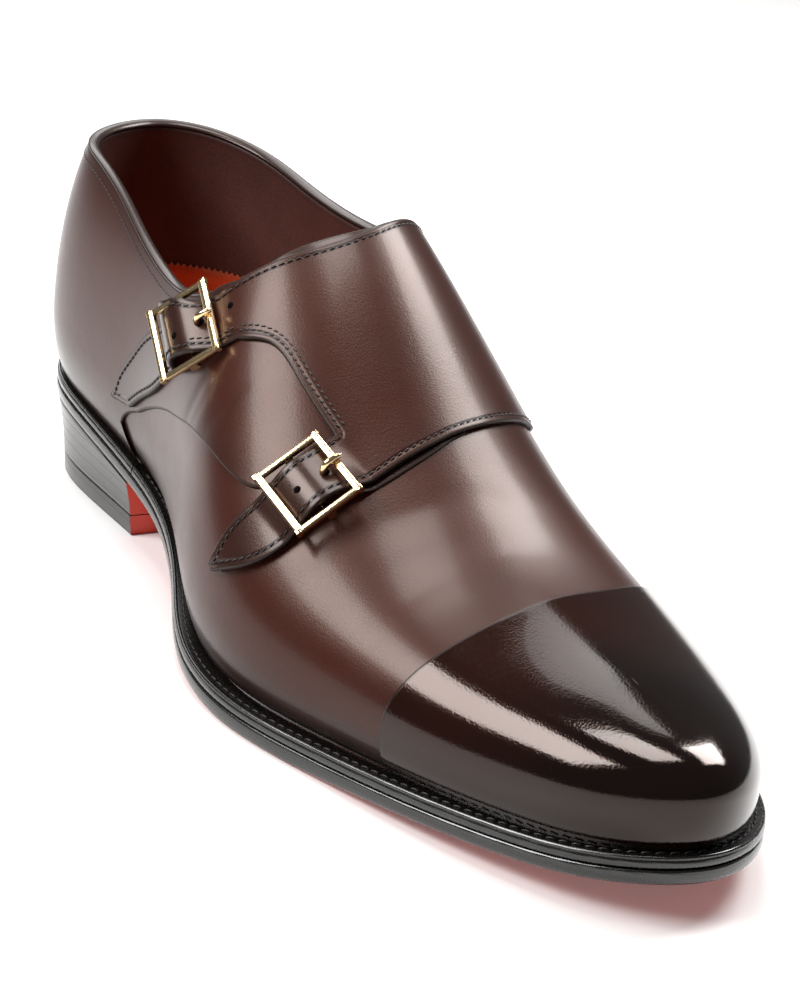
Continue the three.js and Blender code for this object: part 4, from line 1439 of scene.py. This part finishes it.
def ring_piece(name, start, end, steps, profile, material, stands_for):
    sections = []
    for u in np.linspace(start, end, steps + 1):
        shape = np.array(profile(float(foot_at(u))))
        sections.append(beside(np.full(len(shape), u), shape[:, 0], shape[:, 1]))
    values = even_values(len(sections) * len(sections[0]))
    return loft_piece(name, sections, material, stands_for, values, SHARP_SOLE)


def welt_profile(s, bead=0.28):
    """Section of the welt: a bead at its top edge, a groove under it and a round side."""
    out, top, under = float(edge_at(s)), float(welt_top(s)), float(welt_under(s))
    return [(-2.5, top), (0.6, top), (out - 1.35, top), (out - 1.05, top - 0.05),
            (out - 0.85, top + bead * 0.8), (out - 0.55, top + bead),
            (out - 0.25, top + bead * 0.6), (out - 0.1, top - 0.1),
            (out - 0.28, top - 0.45), (out - 0.22, top - 0.7), (out, top - 0.95),
            (out + 0.08, (top + under) / 2 - 0.2), (out, under + 0.45),
            (out - 0.35, under), (-2.5, under)]


class ShoeInsole(bpy.types.Operator):
    """Make the insole with its sock and the sock's pinked edge"""

    bl_idname = "shoe.insole"
    bl_label = "Insole and sock"

    def execute(self, context):
        def base(s):
            top, out = float(sole_top(s)) + GAP + INSOLE, -(WALL + 1.0)
            return [(out - 0.4, top), (out, top - 0.4), (out, top - INSOLE + 0.4),
                    (out - 0.4, top - INSOLE)]

        left, right = walls(base, 90)
        two_sided("insole", left, right, [finish("sock")], ["insole"])
        teeth = 400
        sides_of = []
        for mirrored in (False, True):
            u = np.linspace(0.02, TOE - 0.02, teeth + 1)
            u = LOOP - u if mirrored else u
            s = foot_at(u)
            top = sole_top(s) + GAP + INSOLE
            bite = np.where(np.arange(teeth + 1) % 4 < 2, 0.0, 1.1)
            out = -(WALL + 0.55) - bite
            sides_of.append(np.stack([beside(u, out - 0.3, top + 0.8),
                                      beside(u, out, top + 0.65),
                                      beside(u, out, top + 0.1)], 1))
        two_sided("sock", sides_of[0], sides_of[1], [finish("sock")])
        u = np.linspace(-4.4, 4.4, 361)
        want = 52.4 - 1.5 * smooth(np.abs(u), 2.6, 4.4) + np.abs((np.arange(361) % 4) - 2) * 0.55
        top = bisect(np.full(361, LOW_ANGLE), np.full(361, 60.0),
                     lambda middle: last(np.mod(u, LOOP), middle)[..., 2] < want, 30)
        a = -57 + (top[:, None] + 57) * np.concatenate([np.linspace(0, 0.97, 16), [1.0]])
        u = np.broadcast_to(u[:, None], a.shape)
        leather_piece("sock_rim", LAST_SHEET, np.abs(u), np.where(u < 0, 180 - a, a), -2.3,
                      -3.1, finish("sock"), rounding=0.2)
        return {"FINISHED"}


class ShoeSole(bpy.types.Operator):
    """Make the outsole, the welt with its stitches, and the heel's rand"""

    bl_idname = "shoe.sole"
    bl_label = "Outsole and welt"

    def execute(self, context):
        def edge(s):
            out, top, under = float(edge_at(s)), float(sole_top(s)), float(under_at(s))
            return [(out - 0.7, top), (out - 0.2, top - 0.15), (out + 0.02, top - 0.6),
                    (out + 0.1, top - 1.4), (out + 0.06, (top + under) / 2 - 0.3),
                    (out - 0.1, under + 0.9), (out - 0.45, under + 0.3),
                    (out - 1.1, under + 0.02), (out - 3.0, under)]

        left, right = walls(edge, 150)
        two_sided("outsole", left, right, [finish("edge"), finish("sole")],
                  ["outsole"], lambda c, n: int(n[2] < -0.9 and HEEL_CENTRE - c[1] > 60))
        ring_piece("welt", JOINT, LOOP - JOINT, 220, welt_profile, finish("edge"),
                   ["welt"])
        ring_piece("heel_rand", -JOINT + 0.02, JOINT - 0.02, 90,
                   lambda s: welt_profile(s, 0.18), finish("edge"),
                   ["heel_rand"])
        sewn = Stitches()
        u = np.linspace(JOINT + 0.15, LOOP - JOINT - 0.15, 900)
        s = foot_at(u)
        line = beside(u, edge_at(s) - 2.3, welt_top(s) + 0.05)
        up = np.tile([0.0, 0.0, 1.0], (len(u), 1))
        sewn.along(line, up, 3.0, 0.78, 0.24)
        sewn.make("welt_stitching", finish("welt_thread"), "welt_leather")
        return {"FINISHED"}


def breast_station(inner):
    """Station where the heel's front meets the feather line."""
    return float(bisect(1.0, 8.0, lambda u: foot_at(LOOP - u if inner else u) < BREAST))


class ShoeHeel(bpy.types.Operator):
    """Make the heel's stack of lifts and the top piece under it"""

    bl_idname = "shoe.heel"
    bl_label = "Heel"

    def execute(self, context):
        stop = breast_station(False), breast_station(True)

        def heel_wall(top, under, levels):
            def profile(s):
                rows = []
                high, low, seat = top(s), under(s), float(under_at(s))
                for k, f in enumerate(levels):
                    z = high + (low - high) * f
                    level = min(1.0, z / seat)
                    round_off = 0.35 if k in (0, len(levels) - 1) else 0.0
                    waist = 0.5 * math.sin(math.pi * min(1, max(0, level)))
                    out = float(edge_at(s)) - 0.4 - HEEL_TAPER * (1 - level) - waist
                    rows.append((out - round_off, z))
                return rows

            sides_of = walls(profile, 70, stop)
            for part in sides_of:
                level = np.minimum(1, part[-1, :, 2] / float(under_at(BREAST)))
                part[-1, :, 1] = HEEL_CENTRE - BREAST + BREAST_RAKE * (1 - level)
            return sides_of

        def breast(c, n):
            return int(n[1] < -0.75)

        levels = [0, 0.03, 0.1, 0.25, 0.45, 0.65, 0.85, 0.97, 1.0]
        left, right = heel_wall(lambda s: float(under_at(s)) - GAP,
                                lambda s: TOP_PIECE + GAP, levels)
        two_sided("heel_stack", left, right, [finish("heel"), finish("sole")],
                  ["heel_stack"], breast, True)
        levels = [0, 0.08, 0.5, 0.9, 1.0]
        left, right = heel_wall(lambda s: TOP_PIECE, lambda s: 0.0, levels)
        two_sided("heel_top_piece", left, right, [finish("heel"), finish("sole")],
                  ["heel_top_piece"], breast, True)
        return {"FINISHED"}


# ---------------------------------------------------------------- buckles
class Metal:
    """Collects bevelled bars and round bars in a buckle's own directions."""

    def __init__(self, frame_of):
        self.frame_of = frame_of
        self.places, self.faces, self.count = [], [], 0

    def add(self, places, faces):
        self.places.append(np.asarray(places, float))
        self.faces += [[c + self.count for c in f] for f in faces]
        self.count += len(places)

    def prism(self, outline, thickness, z, bevel):
        """A flat plate with this outline in the strap's plane and rounded top edges."""
        outline = np.asarray(outline, float)
        ahead, behind = np.roll(outline, -1, 0), np.roll(outline, 1, 0)
        t = unit(unit(ahead - outline) + unit(outline - behind))
        inwards = np.column_stack([-t[:, 1], t[:, 0]])
        rings = []
        half = thickness / 2
        for share, height in ((1, -half), (0.3, -half), (0, -half + bevel * 0.6),
                              (0, half - bevel), (0.29, half - bevel * 0.29),
                              (1, half)):
            ring = outline + inwards * bevel * share
            rings.append(np.column_stack([ring, np.full(len(ring), z + height)]))
        self.add(np.concatenate(rings), ring_faces(len(rings), len(outline)))

    def box(self, sx, sy, sz, x, y, z, bevel):
        self.prism([(x - sx / 2, y - sy / 2), (x + sx / 2, y - sy / 2),
                    (x + sx / 2, y + sy / 2), (x - sx / 2, y + sy / 2)], sz, z, bevel)

    def rod(self, path, radii, corners=16):
        """A round bar along a smooth path, with one radius for each of its places."""
        path = np.asarray(path, float)
        t = np.linspace(0, 1, len(path))
        fine = np.linspace(0, 1, 40)
        line, size_at = Curve(t, path).at(fine), np.interp(fine, t, radii)
        tangent = unit(np.gradient(line, axis=0))
        flat = np.abs(tangent[:, 1]).max() > 0.9
        side = np.tile([1.0, 0, 0] if flat else [0, 1.0, 0], (len(line), 1))
        up = unit(np.cross(tangent, side))
        turn = np.linspace(0, 2 * np.pi, corners, endpoint=False)
        rings = line[:, None] + size_at[:, None, None] * (
            side[:, None] * np.cos(turn)[None, :, None] + up[:, None]
            * np.sin(turn)[None, :, None])
        self.add(rings.reshape(-1, 3), ring_faces(len(line), corners))

    def make(self, name, slot, stands_for):
        p = np.concatenate(self.places)
        f = self.frame_of
        world = (f["centre"] + p[:, :1] * f["along"] + p[:, 1:2] * f["across"]
                 + p[:, 2:] * f["off"])
        return make_mesh(name, world, self.faces, [finish("gold")], stands_for,
                         sharp=35)


BUCKLE_LENGTH, BUCKLE_WIDTH = 18.5, 20.8
BUCKLE_HEIGHT = 3.45  # of the frame's middle over the buckle's centre
PRONG_HOLE = 4.0  # from the middle of the buckle along the strap
SPARE_HOLES = {"upper": [-2.2, 14.0], "lower": [-2.2]}
HOLE_CORNERS = 20


def flap_at(s, angle):
    return FLAP_SHEET.at(np.array([s]), np.array([angle]))[0]


def on_strap(frame_of, at, along):
    """Station and angle of the place on the flap this far along the middle of a buckle."""
    s, angle = at
    axes = frame_of["along"], frame_of["across"]
    for _ in range(12):
        p = flap_at(s, angle)
        want = np.array([along, 0.0]) - [np.dot(p - frame_of["centre"], axis) for axis in axes]
        ps = (flap_at(s + 0.01, angle) - p) / 0.01
        pa = (flap_at(s, angle + 0.3) - p) / 0.3
        m = np.array([[np.dot(ps, axis), np.dot(pa, axis)] for axis in axes])
        step = np.linalg.solve(m, want)
        s, angle = s + np.clip(step[0], -0.3, 0.3), angle + np.clip(step[1], -6, 6)
    return s, angle


class ShoeBuckles(bpy.types.Operator):
    """Make both buckles with their prongs, and the holes in the straps as dark discs of painted
    shadow
    """

    bl_idname = "shoe.buckles"
    bl_label = "Buckles and holes"

    def execute(self, context):
        for row, frame_of in zip(BUCKLES, BUCKLE_FRAMES):
            name = frame_of["name"]
            bars = Metal(frame_of)
            length, width, z = BUCKLE_LENGTH, BUCKLE_WIDTH, BUCKLE_HEIGHT
            for side in (-1, 1):
                x = side * (length - 2.0) / 2
                bars.box(2.1, width, 1.6, x, 0, z, 0.75)
                bars.box(1.0, width - 1.2, 0.5, x + side * 0.2, 0, z + 0.85, 0.22)
                y = side * (width - 1.7) / 2
                bars.box(length - 1.0, 1.7, 1.4, 0, y, z - 0.05, 0.65)
                for end in (-1, 1):
                    bars.box(1.5, 1.5, 1.7, end * (length / 2 - 0.6),
                             side * (width / 2 - 0.6), z, 0.4)
                bars.box(2.2, 1.6, 2.7, 0, side * (width - 1.8) / 2, 1.9, 0.5)
            bars.rod([(0, -width / 2 + 1, 1.1), (0, 0, 1.1), (0, width / 2 - 1, 1.1)],
                     [0.7, 0.7, 0.7])
            bars.make("buckle_" + name, "buckle_metal_" + name, ["buckle_frame_" + name])
            pin = Metal(frame_of)
            pin.rod([(2.1, 0, 1.3), (3.0, 0, 1.9), (4.1, 0, 2.9), (5.0, 0, 4.3),
                     (6.2, 0, 5.25), (7.6, 0, 5.35), (8.9, 0, 5.25), (9.9, 0, 4.85)],
                    [0.8, 0.85, 0.9, 0.95, 0.95, 0.9, 0.8, 0.55])
            pin.make("prong_" + name, "prong_metal_" + name, ["buckle_prong_" + name])
            # Each hole is a flat near-black disc on the strap's face: painted shadow, not a cut
            # through the strap.
            places, faces = [], []
            turn = np.linspace(0, 2 * np.pi, HOLE_CORNERS, endpoint=False)[:, None]
            for a in [PRONG_HOLE] + SPARE_HOLES[name]:
                s, angle = on_strap(frame_of, row["at"], a)
                p = flap_at(s, angle)
                n = FLAP_SHEET.out(np.array([s]), np.array([angle]))[0]
                side = unit(np.cross(n, frame_of["along"]))
                ahead = np.cross(side, n)
                radius = 1.35 if a == PRONG_HOLE else 1.0
                centre = p + n * size("strap")
                base = (2 * HOLE_CORNERS + 1) * (len(places) // 3)
                for share, lift in ((1.0, -0.12), (0.9, 0.05)):
                    places.append(centre + n * lift + radius * share * (
                        ahead * np.cos(turn) + side * np.sin(turn)))
                places.append(centre[None, :] + n * 0.07)
                ring = base + HOLE_CORNERS
                for c in range(HOLE_CORNERS):
                    d = (c + 1) % HOLE_CORNERS
                    faces.append([base + c, base + d, ring + d, ring + c])
                    faces.append([ring + c, ring + d, ring + HOLE_CORNERS])
            make_mesh("painted_hole_shadows_" + name, np.concatenate(places), faces,
                      [finish("hole")], weighted=False)
        return {"FINISHED"}


# ---------------------------------------------------------------- stage
class ShoeStageSet(bpy.types.Operator):
    """Set the floor, the lights and the camera"""

    bl_idname = "shoe.stage"
    bl_label = "Stage"

    def execute(self, context):
        scene = context.scene
        stage = getattr(scene, STAGE)
        floor = Finish("studio_floor")
        dust = floor.noise(40.0)
        tint = floor.mix(dust, linear((212, 211, 210)), linear((216, 215, 214)))
        material = floor.done(Base_Color=tint, Roughness=0.6 + (dust - 0.5) * 0.1,
                              Emission_Color=tint, Emission_Strength=0.15)
        far = 40  # metres to the floor's edges
        mesh = bpy.data.meshes.new("floor")
        mesh.from_pydata([(-far, -far, 0), (far, -far, 0), (far, far, 0), (-far, far, 0)], [],
                         [(0, 1, 2, 3)])
        mesh.materials.append(material)
        ground = bpy.data.objects.new("floor", mesh)
        scene.collection.objects.link(ground)
        world = bpy.data.worlds.new("sky")
        world.use_nodes = True
        scene.world = world
        background = world.node_tree.nodes["Background"]
        background.inputs["Color"].default_value = (1.0, 0.985, 0.97, 1)
        background.inputs["Strength"].default_value = stage.sky
        lamps = [  # name, place, aim, width, height, power
            ("left", (-0.70, 0.03, 0.72), (-0.01, -0.19, 0.03), 0.62, 0.42, stage.key * 1.35),
            ("right", (0.60, -0.03, 0.76), (0.0, -0.16, 0.05), 0.42, 0.42, stage.key * 1.1),
            ("overhead", (-0.04, 0.02, 1.1), (-0.02, -0.16, 0.05), 0.42, 0.42,
             stage.key * 0.75),
            ("back", (0.25, 1.1, 1.0), (0.0, 0.1, 0.0), 1.2, 1.0, stage.key * 1.2),
        ]
        for name, place, aim, wide, high, power in lamps:
            light = bpy.data.lights.new(name, "AREA")
            light.shape, light.energy = "RECTANGLE", power
            light.size, light.size_y = wide, high
            lamp = bpy.data.objects.new(name, light)
            lamp.location = place
            lamp.rotation_euler = (Vector(aim) - Vector(place)).to_track_quat(
                "-Z", "Y").to_euler()
            scene.collection.objects.link(lamp)
        data = bpy.data.cameras.new("camera")
        data.lens, data.sensor_width, data.sensor_fit = stage.focal, 36.0, "HORIZONTAL"
        camera = bpy.data.objects.new("camera", data)
        camera.rotation_mode = "QUATERNION"
        camera.location = (-0.28966, -0.63179, 0.2751)
        camera.rotation_quaternion = (0.81022, 0.53377, -0.17296, -0.16948)
        scene.collection.objects.link(camera)
        scene.camera = camera
        scene.view_settings.view_transform = "Standard"
        return {"FINISHED"}


# ---------------------------------------------------------------- add-on
PIECES = [ShoeVamp, ShoeQuarter, ShoeFlap, ShoeUnderlay, ShoeCap, ShoeTongue, ShoeLinings,
          ShoeBinding, ShoeStitching, ShoeInsole, ShoeSole, ShoeHeel, ShoeBuckles, ShoeStageSet]


class ShoePanel(bpy.types.Panel):
    """Colours, sizes and steps of the shoe"""

    bl_idname = "VIEW3D_PT_strap_shoe"
    bl_label = "Strap shoe"
    bl_space_type = "VIEW_3D"
    bl_region_type = "UI"
    bl_category = "Shoe"

    def draw(self, context):
        for name, group in GROUPS.items():
            box = self.layout.box()
            for key in group.__annotations__:
                box.prop(getattr(context.scene, name), key)
        for piece in PIECES:
            self.layout.operator(piece.bl_idname)


CLASSES = [*GROUPS.values(), *PIECES, ShoePanel]


def register():
    for cls in CLASSES:
        bpy.utils.register_class(cls)
    for name, group in GROUPS.items():
        setattr(bpy.types.Scene, name, bpy.props.PointerProperty(type=group))


def unregister():
    for name in GROUPS:
        delattr(bpy.types.Scene, name)
    for cls in reversed(CLASSES):
        bpy.utils.unregister_class(cls)


def main():
    register()
    for piece in PIECES:
        group, name = piece.bl_idname.split(".")
        getattr(getattr(bpy.ops, group), name)()


if __name__ == "__main__":
    main()
